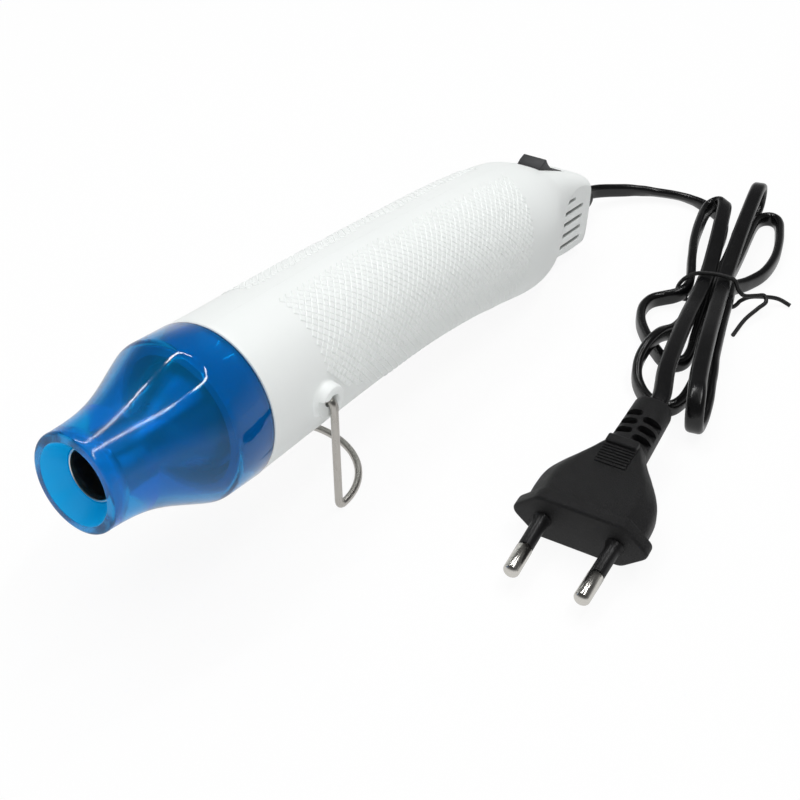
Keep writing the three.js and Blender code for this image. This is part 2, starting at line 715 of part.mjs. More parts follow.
// Fan: a moulded hub and twisted blades on the motor's shaft.
const hubBore = SHAFT_R + GAP;
function blade(turn) {
  const rings = [];
  const steps = 3;
  for (let i = 0; i <= steps; i += 1) {
    const r = HUB_R - BLADE_ROOT + ((FAN_R - HUB_R + BLADE_ROOT) * i) / steps;
    const pitch = rad(BLADE_PITCH + (BLADE_TWIST * i) / steps);
    const chord = (FAN_DEPTH / 2 - BLADE_INSET) / Math.cos(pitch);
    const along = [Math.cos(pitch) * chord, Math.sin(pitch) * chord];
    const thick = [-Math.sin(pitch) * (BLADE_THICK / 2), Math.cos(pitch) * (BLADE_THICK / 2)];
    const corners = [[1, 1], [1, -1], [-1, -1], [-1, 1]];
    rings.push(corners.map(([a, t]) => new THREE.Vector3(
      a * along[0] + t * thick[0],
      a * along[1] + t * thick[1],
      r,
    )));
  }
  return loft(rings).rotateX(turn);
}
const fanMiddle = FAN_X + FAN_DEPTH / 2;
const blades = Array.from({ length: BLADES }, (_, i) => blade((2 * Math.PI * i) / BLADES));
const fanLimit = rodX(FAN_R, -FAN_DEPTH / 2, FAN_DEPTH / 2);
const fan = cut(
  join(rodX(HUB_R, -FAN_DEPTH / 2, FAN_DEPTH / 2, SMALL_ROUND), ...blades.map((one) => common(one, fanLimit))),
  rodX(hubBore, -FAN_DEPTH, FAN_DEPTH, SMALL_ROUND),
);
piece(tool, 'fan_impeller', fan.translate(fanMiddle, 0, FAN_AXIS_Z), 0x2b2d30, 0.5);

// Motor: a drawn can with a blind shaft bore, its end cap, terminals and the holder that spans the shells.
const motorEnd = MOTOR_X + MOTOR_LENGTH;
const boreEnd = motorEnd - BORE_FLOOR;
const shaft = rodX(SHAFT_R, FAN_X - SHAFT_PROUD, boreEnd - GAP, SMALL_ROUND);
piece(tool, 'motor_shaft', shaft.translate(0, 0, FAN_AXIS_Z), 0xb5b8bb, 0.25, 1);
const can = turned([
  [0, boreEnd],
  [hubBore, boreEnd],
  [hubBore, MOTOR_X - BEARING_LENGTH],
  [BEARING_R, MOTOR_X - BEARING_LENGTH],
  [BEARING_R, MOTOR_X],
  [MOTOR_R - CAN_EDGE, MOTOR_X],
  [MOTOR_R, MOTOR_X + CAN_EDGE],
  [MOTOR_R, motorEnd],
  [0, motorEnd],
], INNER_ROUND);
piece(tool, 'motor_can', can.translate(0, 0, FAN_AXIS_Z), 0xa9adb1, 0.3, 1);

const capStart = motorEnd + GAP;
const capEnd = capStart + CAP_THICK;
const capR = MOTOR_R - CAP_INSET;
const cap = turned([[0, capStart], [capR, capStart], [capR - CAP_DRAFT, capEnd], [0, capEnd]], INNER_ROUND);
piece(tool, 'motor_end_cap', cap.translate(0, 0, FAN_AXIS_Z), 0x1f2022, 0.5);

const terminalStart = capEnd + GAP;
const terminalEnd = terminalStart + TERMINAL_LENGTH;
[-1, 1].forEach((side, i) => {
  const y = side * (MOTOR_R / 2);
  const tag = box(
    terminalStart,
    terminalEnd,
    y - TERMINAL_THICK / 2,
    y + TERMINAL_THICK / 2,
    FAN_AXIS_Z - TERMINAL_WIDTH / 2,
    FAN_AXIS_Z + TERMINAL_WIDTH / 2,
  );
  piece(tool, `motor_terminal_${i + 1}`, tag, 0xb08d45, 0.35, 1);
});

const holderMiddle = MOTOR_X + MOTOR_LENGTH / 2;
const holderFrom = holderMiddle - HOLDER_LENGTH / 2;
const holderTo = holderMiddle + HOLDER_LENGTH / 2;
const arms = join(
  box(holderFrom, holderTo, -FAR, FAR, FAN_AXIS_Z - ARM / 2, FAN_AXIS_Z + ARM / 2),
  box(holderFrom, holderTo, -ARM / 2, ARM / 2, -FAR, FAR),
);
const holderRing = rodX(MOTOR_R + GAP + HOLDER_WALL, holderFrom, holderTo, INNER_ROUND);
const holderBore = rodX(MOTOR_R + GAP, holderFrom - PAST, holderTo + PAST, INNER_ROUND);
holderRing.translate(0, 0, FAN_AXIS_Z);
holderBore.translate(0, 0, FAN_AXIS_Z);
piece(tool, 'motor_holder', cut(
  join(common(arms, hull(SHELL_WALL + GAP)), holderRing),
  holderBore,
), 0xd9dadb, 0.5);

// Rectifier: a round board behind the motor with four diodes.
const boardStart = terminalEnd + GAP;
const boardEnd = boardStart + BOARD_THICK;
const board = rodX(BOARD_R, boardStart, boardEnd, INNER_ROUND);
piece(tool, 'rectifier_board', board.translate(0, 0, FAN_AXIS_Z), 0x8a5a2b, 0.6);
const diodeX = boardEnd + GAP + DIODE_R;
[[-1, -1], [-1, 1], [1, -1], [1, 1]].forEach(([row, side], i) => {
  const z = row * DIODE_ROW;
  const y = side * (DIODE_LENGTH / 2 + DIODE_ASIDE);
  const diode = rodY(DIODE_R, y - DIODE_LENGTH / 2, y + DIODE_LENGTH / 2, diodeX, z, 12);
  piece(tool, `diode_${i + 1}`, diode, 0x1b1b1d, 0.4);
});

// Switch: a body under the sloping top with a pocket for the rocker, whose pin turns in its side walls.
const switchTop = -SHELL_WALL - GAP;
const switchHalfU = ROCKER_REACH + GAP + SWITCH_WALL;
const switchHalfY = ROCKER_WIDTH / 2 + GAP + SWITCH_WALL;
const pocketHalfU = ROCKER_REACH + GAP;
const pocketHalfY = ROCKER_WIDTH / 2 + GAP;
piece(tool, 'switch_body', common(hull(SHELL_WALL + GAP), onSlope(cut(
  box(-switchHalfU, switchHalfU, -switchHalfY, switchHalfY, switchTop - SWITCH_DEPTH, switchTop),
  box(-pocketHalfU, pocketHalfU, -pocketHalfY, pocketHalfY, switchTop - SWITCH_POCKET, PAST),
  rodY(ROCKER_PIN_R + PIN_CLEAR, -FAR, FAR, 0, -ROCKER_PIN_DEPTH),
))), 0x1d1e20, 0.5);
[-1, 1].forEach((side, i) => {
  const u = side * (switchHalfU / 2);
  const top = switchTop - SWITCH_DEPTH - GAP;
  const tag = box(
    u - TERMINAL_THICK / 2,
    u + TERMINAL_THICK / 2,
    -TERMINAL_WIDTH / 2,
    TERMINAL_WIDTH / 2,
    top - SWITCH_TERMINAL_LENGTH,
    top,
  );
  piece(tool, `switch_terminal_${i + 1}`, onSlope(tag), 0xb08d45, 0.35, 1);
});

// Rocker: two raised ridges and a valley, with end faces round its pin. It rests tipped, front end up.
const endAngle = Math.asin(ROCKER_PIN_DEPTH / ROCKER_REACH);
const rockerShape = new THREE.Shape();
rockerShape.moveTo(0, ROCKER_PIN_DEPTH + ROCKER_VALLEY);
rockerShape.lineTo(-ROCKER_RIDGE_U, ROCKER_PIN_DEPTH + ROCKER_RIDGE);
rockerShape.absarc(0, 0, ROCKER_REACH, Math.PI - endAngle, Math.PI, false);
rockerShape.lineTo(0, -ROCKER_PIN_R - ROCKER_KEEL);
rockerShape.absarc(0, 0, ROCKER_REACH, 0, endAngle, false);
rockerShape.lineTo(ROCKER_RIDGE_U, ROCKER_PIN_DEPTH + ROCKER_RIDGE);
rockerShape.closePath();
const rocker = join(
  plate(rockerShape, -ROCKER_WIDTH / 2, ROCKER_WIDTH / 2),
  rodY(ROCKER_PIN_R, -switchHalfY, switchHalfY, 0, 0),
);
rocker.rotateY(rad(ROCKER_THROW)).translate(0, 0, -ROCKER_PIN_DEPTH);
piece(tool, 'rocker', onSlope(rocker), 0x2e3033, 0.4);

// Cord gland: a soft sleeve with ribs, held in the tail wall by its flange and collar.
const glandStart = tailEnd + GAP;
const glandEnd = glandStart + GLAND_LENGTH;
const wallInside = tailEnd - SHELL_WALL - GAP;
const glandProfile = [
  [0, wallInside - GLAND_FLANGE],
  [GLAND_FLANGE_R, wallInside - GLAND_FLANGE],
  [GLAND_FLANGE_R, wallInside],
  [GLAND_NECK_R, wallInside],
  [GLAND_NECK_R, glandStart],
];
for (let i = 0; i < GLAND_RIBS; i += 1) {
  const from = i / GLAND_RIBS;
  const r = GLAND_R + (GLAND_END_R - GLAND_R) * from;
  const x = glandStart + GLAND_LENGTH * from;
  const rib = (GLAND_LENGTH / GLAND_RIBS) * 0.7;
  const last = i === GLAND_RIBS - 1;
  glandProfile.push([r, x], [r, x + rib]);
  if (!last) glandProfile.push([r - GLAND_GROOVE, x + rib], [r - GLAND_GROOVE, x + GLAND_LENGTH / GLAND_RIBS]);
}
glandProfile.push([GLAND_END_R, glandEnd], [0, glandEnd]);
piece(tool, 'cord_gland', turned(glandProfile, 12).translate(0, 0, GLAND_Z), 0x18191a, 0.6);

// The tool leans on the stand and on its hip: the tilt that brings the shells' lowest corner to the table.
const pivotHeight = LEG + WIRE_R;
const outline = hull(0).getAttribute('position');
function lowest(tilt) {
  let low = Infinity;
  for (let i = 0; i < outline.count; i += 1) {
    const along = outline.getX(i) - PIVOT_X;
    low = Math.min(low, pivotHeight - along * Math.sin(tilt) + outline.getZ(i) * Math.cos(tilt));
  }
  return low;
}
let tilt = 0;
let tiltHigh = rad(30);
for (let i = 0; i < 40; i += 1) {
  const middle = (tilt + tiltHigh) / 2;
  if (lowest(middle) > 0) tilt = middle;
  else tiltHigh = middle;
}
tool.rotation.y = tilt;
tool.position.set(-PIVOT_X * Math.cos(tilt), 0, pivotHeight + PIVOT_X * Math.sin(tilt));

// Wire stand: one bent wire, turned into the pivot holes, two legs and a half-round foot flat on the table.
const footZ = WIRE_R;
const xAxis = new THREE.Vector3(1, 0, 0);
const zAxis = new THREE.Vector3(0, 0, 1);
const wireEnd = (side) => new THREE.Vector3(0, side * (legHalf - WIRE_TURN_IN), pivotHeight);
const knee = (side) => new THREE.Vector3(0, side * legHalf, pivotHeight);
const heel = (side) => new THREE.Vector3(0, side * legHalf, footZ);
const bend = (from, at, to) => new THREE.QuadraticBezierCurve3(
  at.clone().add(from.clone().sub(at).setLength(WIRE_BEND)),
  at,
  at.clone().add(to.clone().sub(at).setLength(WIRE_BEND)),
);
const footPoint = (angle) => new THREE.Vector3(
  WIRE_BEND + (legHalf - WIRE_BEND) * Math.cos(angle),
  legHalf * Math.sin(angle),
  footZ,
);
const FOOT_STEPS = 24;
const BEND_STEPS = 4;
const standStops = [{ at: wireEnd(-1), wide: zAxis }];
const follow = (curve, steps, wideOf) => {
  for (let i = 1; i <= steps; i += 1) {
    standStops.push({ at: curve.getPoint(i / steps), wide: wideOf(curve.getTangent(i / steps)) });
  }
};
const inUprightPlane = (along) => along.clone().cross(xAxis);
const sideways = (sign) => () => new THREE.Vector3(0, sign, 0);
follow(bend(wireEnd(-1), knee(-1), heel(-1)), BEND_STEPS, inUprightPlane);
follow(bend(knee(-1), heel(-1), heel(-1).setX(1)), BEND_STEPS, sideways(-1));
for (let i = 1; i < FOOT_STEPS; i += 1) {
  const angle = -Math.PI / 2 + (Math.PI * i) / FOOT_STEPS;
  const out = new THREE.Vector3(Math.cos(angle) * legHalf, Math.sin(angle) * (legHalf - WIRE_BEND), 0);
  standStops.push({ at: footPoint(angle), wide: out.normalize() });
}
follow(bend(heel(1).setX(1), heel(1), knee(1)), BEND_STEPS, sideways(1));
follow(bend(heel(1), knee(1), wireEnd(1)), BEND_STEPS, inUprightPlane);
standStops.push({ at: wireEnd(1), wide: zAxis });
const wireSection = roundSection(WIRE_R / Math.cos(Math.PI / 8), 8);
piece(bench, 'wire_stand', sweep(standStops, wireSection).geometry, 0xb9bcc0, 0.3, 1);

// The hank lies beside the tool in its own axes: s along its runs, away from the plug, and t across.
const hankPlace = (s, t, z) => {
  const turn = rad(HANK_TURN);
  return new THREE.Vector3(
    HANK_X + s * Math.cos(turn) + t * Math.sin(turn),
    HANK_Y + s * Math.sin(turn) - t * Math.cos(turn),
    z,
  );
};

// Seven passes through the tie: five on edge on the table, two lying flat on top of them.
const step = CORD_THIN + CORD_SPACE;
const onEdge = CORD_WIDE / 2;
const flatDown = CORD_THIN / 2;
const lowPass = 2 * TIE_R + TIE_SPACE + onEdge;
const topPass = lowPass + onEdge + CORD_SPACE + flatDown;
const topShift = (CORD_WIDE + CORD_SPACE) / 2;
const LANE_MIDDLE = -1.2;
const TOP_MIDDLE = -0.1;
const lane = (n) => LANE_MIDDLE + n * step;
const EDGE = 0; // wide side upright
const FLAT = 1; // wide side level
const OVER = -1; // level again, turned the other way
const down = onEdge + TABLE_CLEAR; // on edge on the table
const pass = (t, z, lie, way) => [-1, 0, 1].map((k) => [WAIST_S + way * k * WAIST, t, z, lie]);
const leadT = lane(-1);
const leadZ = onEdge + LEAD_RISE;
const tailT = -3.6;
const tailZ = 9.3;

// The hank's route from the lead to the plug's cord: rows of s, t, height and lie.
const hankRows = [
  [HANK_MOUTH, leadT, leadZ, EDGE],
  [HANK_MOUTH - CORD_WIDE, leadT, leadZ + 2 * LEAD_RISE, EDGE],
  ...pass(leadT, lowPass, EDGE, -1),
  // a loop to the plug that climbs over the next but one, comes down and turns back on the table
  [-14, -5.2, 4.4, EDGE],
  [-25, -7.5, 5.2, EDGE],
  [-34, -10.8, 8.1, EDGE],
  [-40.5, -12.9, 7.9, EDGE],
  [-46, -14, 5.6, EDGE],
  [-51, -13.2, 3.5, EDGE],
  [-55.5, -10.9, 2.6, EDGE],
  [-59, -8.2, down, EDGE],
  [-61, -5.2, down, EDGE],
  [-60.4, -2, down, EDGE],
  [-57, 0.2, down, EDGE],
  [-50, 1.6, down, EDGE],
  [-38, 2.3, down, EDGE],
  [-24, 2.3, 2.8, EDGE],
  [-12, 2.1, 3.6, EDGE],
  ...pass(lane(1), lowPass, EDGE, 1),
  // a narrow loop away from the plug, on the table
  [14, 3.2, 3.1, EDGE],
  [22, 4.1, 2.6, EDGE],
  [34, 5.1, down, EDGE],
  [46, 5.9, down, EDGE],
  [53, 6.5, down, EDGE],
  [57, 7.4, down, EDGE],
  [59.5, 9, down, EDGE],
  [60.5, 11.2, down, EDGE],
  [59.3, 13.3, down, EDGE],
  [56.2, 14.6, down, EDGE],
  [51, 15.3, down, EDGE],
  [43, 15.9, down, EDGE],
  [31.5, 15.6, down, EDGE],
  [21, 13.3, down, EDGE],
  [13, 9.2, 2.9, EDGE],
  ...pass(lane(2), lowPass, EDGE, -1),
  // a fold at the plug that turns over in an upright plane
  [-14, 5.4, 3.2, EDGE],
  [-30, 5.8, down, EDGE],
  [-44, 6.2, 2.3, 0.4],
  [-55, 6.4, 1.75, 0.85],
  [-60, 6.3, 1.5, FLAT],
  [-64.5, 6, 1.75, FLAT],
  [-68.2, 5.7, 3.4, FLAT],
  [-69.8, 5.4, 7.1, FLAT],
  [-68.2, 5, 10.8, FLAT],
  [-64.5, 4.6, 12.5, FLAT],
  [-58, 3.9, 12.6, FLAT],
  [-38, 3.1, 11.9, FLAT],
  [-20, 2.8, 10.2, FLAT],
  ...pass(TOP_MIDDLE + topShift, topPass, FLAT, 1),
  // a fold at the far end
  [14, 2.9, 9.6, FLAT],
  [26, 3.4, 11.2, FLAT],
  [45, 4.3, 12.6, FLAT],
  [58, 5, 13.1, FLAT],
  [63, 5.3, 12.6, FLAT],
  [66.7, 5.6, 10.8, FLAT],
  [68, 5.8, 7.2, FLAT],
  [66.5, 5.7, 3.5, FLAT],
  [62.5, 5, 1.8, FLAT],
  [57.5, 3.5, 1.7, 0.75],
  [50, 1.9, 2.2, 0.3],
  [38, 1.5, down, EDGE],
  [24, 0.7, 2.6, EDGE],
  [13, -0.6, 3.3, EDGE],
  ...pass(lane(0), lowPass, EDGE, -1),
  // a short loop on the table that ends beside the passes
  [-13, -1.3, 3.3, EDGE],
  [-24, -1.4, down, EDGE],
  [-32, -1.3, down, EDGE],
  [-37, -2.3, down, EDGE],
  [-39.2, -5, down, EDGE],
  [-37.6, -8.2, down, EDGE],
  [-33.5, -11.3, down, EDGE],
  [-27.5, -15, down, EDGE],
  [-19.7, -18.2, down, EDGE],
  [-12, -19, down, EDGE],
  [-6.5, -17.2, down, EDGE],
  [-4.2, -14, 2.9, EDGE],
  [-3.2, -11.2, 3.6, EDGE],
  [-1.2, -9, 4.1, EDGE],
  [2, -7.9, 4.4, EDGE],
  // up over the lead and round, turning flat onto the top
  [7, -7.9, 5.2, EDGE],
  [16, -9.2, 6.6, EDGE],
  [28, -10.3, 7.4, -0.1],
  [40, -10.4, 7.6, -0.2],
  [48.5, -10, 7.6, -0.25],
  [51.5, -9.1, 8.1, -0.3],
  [52.7, -7, 9.3, -0.4],
  [51.5, -4.9, 10.5, -0.6],
  [48.5, -4.1, 11, -0.85],
  [38, -3.8, 11, OVER],
  [24, -3.3, 10, OVER],
  [13, -3, 9, OVER],
  ...pass(TOP_MIDDLE - topShift, topPass, OVER, -1),
  [CORD_WIDE - HANK_MOUTH, tailT + 2 * LEAD_RISE, tailZ - 2 * LEAD_RISE, OVER],
  [-HANK_MOUTH, tailT, tailZ, OVER],
];

// A cord along such rows, in the hank's axes: even rings between the stops, or points a set spacing apart.
function cordStops(rows, spacing) {
  const places = rows.map(([s, t, z]) => new THREE.Vector3(s, t, z));
  const route = new THREE.CatmullRomCurve3(places, false, 'centripetal');
  route.arcLengthDivisions = 30 * rows.length;
  const runs = rows.length - 1;
  const count = spacing ? Math.round(route.getLength() / spacing) : runs * STOP_STEPS;
  return Array.from({ length: count + 1 }, (_, i) => {
    const u = spacing ? route.getUtoTmapping(i / count) : i / count;
    const k = Math.min(Math.floor(u * runs), runs - 1);
    const blend = THREE.MathUtils.smoothstep(u * runs - k, 0, 1);
    const lie = THREE.MathUtils.lerp(rows[k][3], rows[k + 1][3], blend) * (Math.PI / 2);
    const at = route.getPoint(u);
    at.z = Math.max(at.z, flatDown + (onEdge - flatDown) * Math.cos(lie) + TABLE_CLEAR);
    return { at, wide: new THREE.Vector3(0, Math.sin(lie), Math.cos(lie)) };
  });
}
const cordCorner = CORD_THIN / 2;
const hankSection = [
  [cordCorner, -onEdge + cordCorner],
  [cordCorner, onEdge - cordCorner],
  [0, onEdge],
  [-cordCorner, onEdge - cordCorner],
  [-cordCorner, -onEdge + cordCorner],
  [0, -onEdge],
];
const toBench = ({ at, wide }) => {
  const base = hankPlace(0, 0, 0);
  return { at: hankPlace(at.x, at.y, at.z), wide: hankPlace(wide.x, wide.y, wide.z).sub(base) };
};
const CORD_ROUGHNESS = 0.4;
const hank = sweep(cordStops(hankRows).map(toBench), hankSection);
piece(bench, 'cord_hank', hank.geometry, 0x141516, CORD_ROUGHNESS);

// The hank's length and the least gap to itself, on points a set spacing apart.
const FINE = 1.0;
const FINE_SIDES = 12;
const fineSection = Array.from({ length: FINE_SIDES }, (_, k) => {
  const angle = (2 * Math.PI * k) / FINE_SIDES;
  const level = k % (FINE_SIDES / 2) === 0;
  const straight = level ? 0 : Math.sign(Math.sin(angle)) * (onEdge - cordCorner);
  return [cordCorner * Math.cos(angle), straight + cordCorner * Math.sin(angle)];
});
const fineStops = cordStops(hankRows, FINE);
const gap = leastGap(sweep(fineStops, fineSection).rings, FINE, 6 * CORD_WIDE);
console.log(`hank: ${fineStops.length - 1} mm long, least gap to itself ${gap.toFixed(2)} mm`);

// Free stretches: from the gland down to the table and round to the hank, and from the hank to the plug.
object.updateMatrixWorld(true);
function flatSection(wide, thin) {
  const r = thin / 2;
  const shape = new THREE.Shape();
  shape.absarc(0, wide / 2 - r, r, 0, Math.PI, false);
  shape.absarc(0, r - wide / 2, r, Math.PI, 2 * Math.PI, false);
  return shape;
}
function cordAlong(points, steps) {
  return new THREE.ExtrudeGeometry(flatSection(CORD_WIDE, CORD_THIN), {
    steps,
    curveSegments: 2,
    bevelEnabled: false,
    extrudePath: new THREE.CatmullRomCurve3(points, false, 'centripetal'),
  });
}
const glandAt = (beyond) => tool.localToWorld(new THREE.Vector3(glandEnd + beyond, 0, GLAND_Z));
const leadPoints = [
  glandAt(GAP),
  glandAt(GAP + CORD_WIDE),
  ...[
    [61.5, -41.3, 4.3],
    [64.8, -35.3, 3.6],
    [66.9, -29.6, 2.9],
    [67.4, -22, 2.6],
    [65.8, -16.6, down],
    [63.2, -12.4, down],
    [59.7, -8.1, down],
    [54.4, -4.4, down],
    [47, -2.8, down],
    [38, -2.6, down],
    [28, -3.6, down],
    [HANK_MOUTH + GAP + CORD_WIDE, leadT, leadZ],
    [HANK_MOUTH + GAP, leadT, leadZ],
  ].map(([s, t, z]) => hankPlace(s, t, z)),
];
piece(bench, 'cord_lead', cordAlong(leadPoints, 36), 0x141516, CORD_ROUGHNESS);

// Plug: a flat hexagonal flange, a body that sweeps in to the neck, a grip pad and a slotted boot.
// Its own axes: X from the front face back to the cord, Z up.
const plug = new THREE.Group();
plug.rotation.set(0, -rad(PLUG_PITCH), rad(PLUG_YAW), 'ZYX');
plug.position.set(PLUG_X, PLUG_Y, (PLUG_HEIGHT / 2) * Math.cos(rad(PLUG_PITCH)) + 2 * TABLE_CLEAR);
bench.add(plug);

// A hexagon with level top and bottom and blunt sides, its corners eased.
function hexagon(x, halfWidth, halfHeight, level, blunt, ease) {
  const corners = [
    [halfWidth, -blunt],
    [halfWidth, blunt],
    [level, halfHeight],
    [-level, halfHeight],
    [-halfWidth, blunt],
    [-halfWidth, -blunt],
    [-level, -halfHeight],
    [level, -halfHeight],
  ].map(([y, z]) => new THREE.Vector2(y, z));
  const ring = [];
  corners.forEach((knee, i) => {
    const before = corners[(i + corners.length - 1) % corners.length].clone().sub(knee);
    const after = corners[(i + 1) % corners.length].clone().sub(knee);
    const start = knee.clone().add(before.setLength(Math.min(ease, before.length() * 0.45)));
    const end = knee.clone().add(after.setLength(Math.min(ease, after.length() * 0.45)));
    [start, end].forEach((p) => ring.push(new THREE.Vector3(x, p.x, p.y)));
  });
  return ring;
}
const flangeHalf = PLUG_WIDTH / 2;
const plugHalf = PLUG_HEIGHT / 2;
const frontLevel = flangeHalf * 0.65;
const EASED = 0.5;
const bodyShares = [
  [0.45, 0.85, 0.6],
  [0.6, 0.74, 0.52],
  [0.75, 0.58, 0.4],
  [0.88, 0.43, 0.3],
  [1, 0.33, 0.22],
];
const plugShell = loft([
  hexagon(0, flangeHalf - EASED, plugHalf - EASED, frontLevel, 1, 2),
  hexagon(EASED, flangeHalf, plugHalf, frontLevel, 1, 2),
  hexagon(FLANGE, flangeHalf, plugHalf, frontLevel, 1, 2),
  hexagon(FLANGE + EASED, flangeHalf - FLANGE_STEP, plugHalf, frontLevel - FLANGE_STEP / 2, 2, 2),
  ...bodyShares.map(([along, width, level]) => hexagon(
    PLUG_BODY * along,
    flangeHalf * width,
    plugHalf - EASED * along,
    flangeHalf * level,
    3,
    3,
  )),
]);
const bootEnd = PLUG_BODY + BOOT_LENGTH;
const bootRow = (x, wide, high) => hexagon(x, wide / 2, high / 2, wide * 0.3, high * 0.28, 2);
const boot = loft([
  bootRow(PLUG_BODY - PAST, BOOT_WIDTH, BOOT_HEIGHT),
  bootRow(bootEnd - BOOT_EASE, BOOT_END_WIDTH, BOOT_END_HEIGHT),
  bootRow(bootEnd, BOOT_END_WIDTH - 2 * BOOT_EASE, BOOT_END_HEIGHT - 2 * BOOT_EASE),
]);

// Boot slots: rows across the boot, left and right of its spine, staggered and cut to one depth.
const bootSlots = [];
for (let i = 0; i < BOOT_SLOTS; i += 1) {
  [-1, 1].forEach((side) => {
    const x = PLUG_BODY + BOOT_SLOT_START + BOOT_PITCH * (i + (side > 0 ? 0.5 : 0));
    const share = (x - PLUG_BODY) / BOOT_LENGTH;
    const deep = THREE.MathUtils.lerp(BOOT_HEIGHT, BOOT_END_HEIGHT, share) / 2 - BOOT_SLOT_DEPTH;
    const wide = THREE.MathUtils.lerp(BOOT_WIDTH, BOOT_END_WIDTH, share) / 2 - BOOT_SLOT_DEPTH / 2;
    [-1, 1].forEach((face) => {
      const [y0, y1] = side > 0 ? [SPINE, wide] : [-wide, -SPINE];
      const [z0, z1] = face > 0 ? [deep, FAR] : [-FAR, -deep];
      bootSlots.push(box(x, x + BOOT_SLOT, y0, y1, z0, z1));
    });
  });
}

// Grip pad: bars across the top and bottom of the neck, the last one taller.
const gripBars = [];
for (let i = 0; i <= PAD_BARS; i += 1) {
  const x = PAD_START + PAD_PITCH * i;
  const last = i === PAD_BARS;
  const tall = plugHalf + (last ? LAST_BAR_RISE : PAD_RISE);
  gripBars.push(box(x, x + (last ? LAST_BAR : PAD_BAR), -PAD_HALF, PAD_HALF, -tall, tall));
}

const pinLean = Math.asin((PIN_PITCH - PIN_TIP_PITCH) / 2 / PIN_LENGTH);
const alongPin = (geometry, side) => geometry.rotateZ(side * pinLean).translate(0, (side * PIN_PITCH) / 2, 0);
const pinHole = () => rodX(PIN_CORE_R + GAP, -PAST, PIN_ROOT + GAP, SMALL_ROUND);
const pinHoles = [-1, 1].map((side) => alongPin(pinHole(), side));
piece(plug, 'plug_body', cut(join(plugShell, boot, ...gripBars), ...bootSlots, ...pinHoles), 0x1b1c1d, 0.7);
[-1, 1].forEach((side, i) => {
  const shoulder = -PIN_SLEEVE_LENGTH - GAP;
  const pin = turned([
    [0, -PIN_LENGTH],
    [PIN_R - PIN_NOSE, -PIN_LENGTH],
    [PIN_R, -PIN_LENGTH + PIN_NOSE],
    [PIN_R, shoulder],
    [PIN_CORE_R, shoulder],
    [PIN_CORE_R, PIN_ROOT],
    [0, PIN_ROOT],
  ], SMALL_ROUND);
  piece(plug, `plug_pin_${i + 1}`, alongPin(pin, side), 0xc9c6bd, 0.25, 1);
  const pinSleeve = ringX(SLEEVE_R, PIN_CORE_R + GAP, -PIN_SLEEVE_LENGTH, -SLEEVE_SEAT, SMALL_ROUND);
  piece(plug, `pin_sleeve_${i + 1}`, alongPin(pinSleeve, side), 0x17181a, 0.5);
});

object.updateMatrixWorld(true);
const plugAt = (beyond) => plug.localToWorld(new THREE.Vector3(bootEnd + beyond, 0, 0));
const tailPoints = [
  ...[
    [-HANK_MOUTH - GAP, tailT, tailZ],
    [-24, -4.9, 10.4],
    [-42, -5, 11.8],
    [-57, -4.9, 12.6],
  ].map(([s, t, z]) => hankPlace(s, t, z)),
  plugAt(GAP + CORD_WIDE),
  plugAt(GAP),
];
piece(bench, 'cord_tail', cordAlong(tailPoints, 16), 0x141516, CORD_ROUGHNESS);

// Twist tie: one coated wire round the waist of the hank, crossed at the side, with two loose ends.
const tiePoints = [
  [7.8, 23.5, 0.9],
  [8.4, 19.5, 2.2],
  [5.6, 14.8, 3.6],
  [2.4, 10.8, 4.4],
  [1.2, 8.5, 3.2],
  [WAIST_S, 7.9, 2.2],
  [WAIST_S, 6.6, 0.85],
  [WAIST_S, 3, 0.72],
  [WAIST_S, -1.2, 0.72],
  [WAIST_S, -6, 0.72],
  [WAIST_S, -9.6, 0.9],
  [WAIST_S, -10.8, 2.6],
  [WAIST_S, -10.7, 5],
  [WAIST_S, -9.2, 7.9],
  [WAIST_S, -6.2, 10.3],
  [WAIST_S, -2.85, 11.2],
  [WAIST_S, 2.65, 11.2],
  [WAIST_S, 5.9, 10.3],
  [0.6, 7.6, 7.4],
  [0.4, 9.4, 6],
  [2.6, 13, 5.4],
  [4.4, 15.3, 4.8],
  [2.8, 16.2, 3.8],
  [-0.6, 14.4, 3],
  [-6.6, 11.4, 2],
  [-15, 9, 0.8],
].map(([s, t, z]) => hankPlace(s, t, z));
const TIE_STEPS = 60;
const tieSection = new THREE.Shape(roundSection(TIE_R, 6).map(([u, v]) => new THREE.Vector2(u, v)));
piece(bench, 'twist_tie', new THREE.ExtrudeGeometry(tieSection, {
  steps: TIE_STEPS,
  bevelEnabled: false,
  extrudePath: new THREE.CatmullRomCurve3(tiePoints, false, 'centripetal'),
}), 0x101112, 0.5);

// The part's origin: on the table, under the middle of the tool and its stand, the cord left out.
object.updateMatrixWorld(true);
const cordNodes = ['cord_lead', 'cord_hank', 'cord_tail', 'twist_tie', 'plug_body'];
const toolBox = new THREE.Box3();
object.traverse((node) => {
  if (!node.isMesh || node.parent === plug || cordNodes.includes(node.name)) return;
  toolBox.union(new THREE.Box3().setFromObject(node, true));
});
const middle = toolBox.getCenter(new THREE.Vector3());
bench.position.set(-middle.x, -middle.y, -toolBox.min.z);

export default object;
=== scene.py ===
import math

import bpy
from mathutils import Matrix, Vector


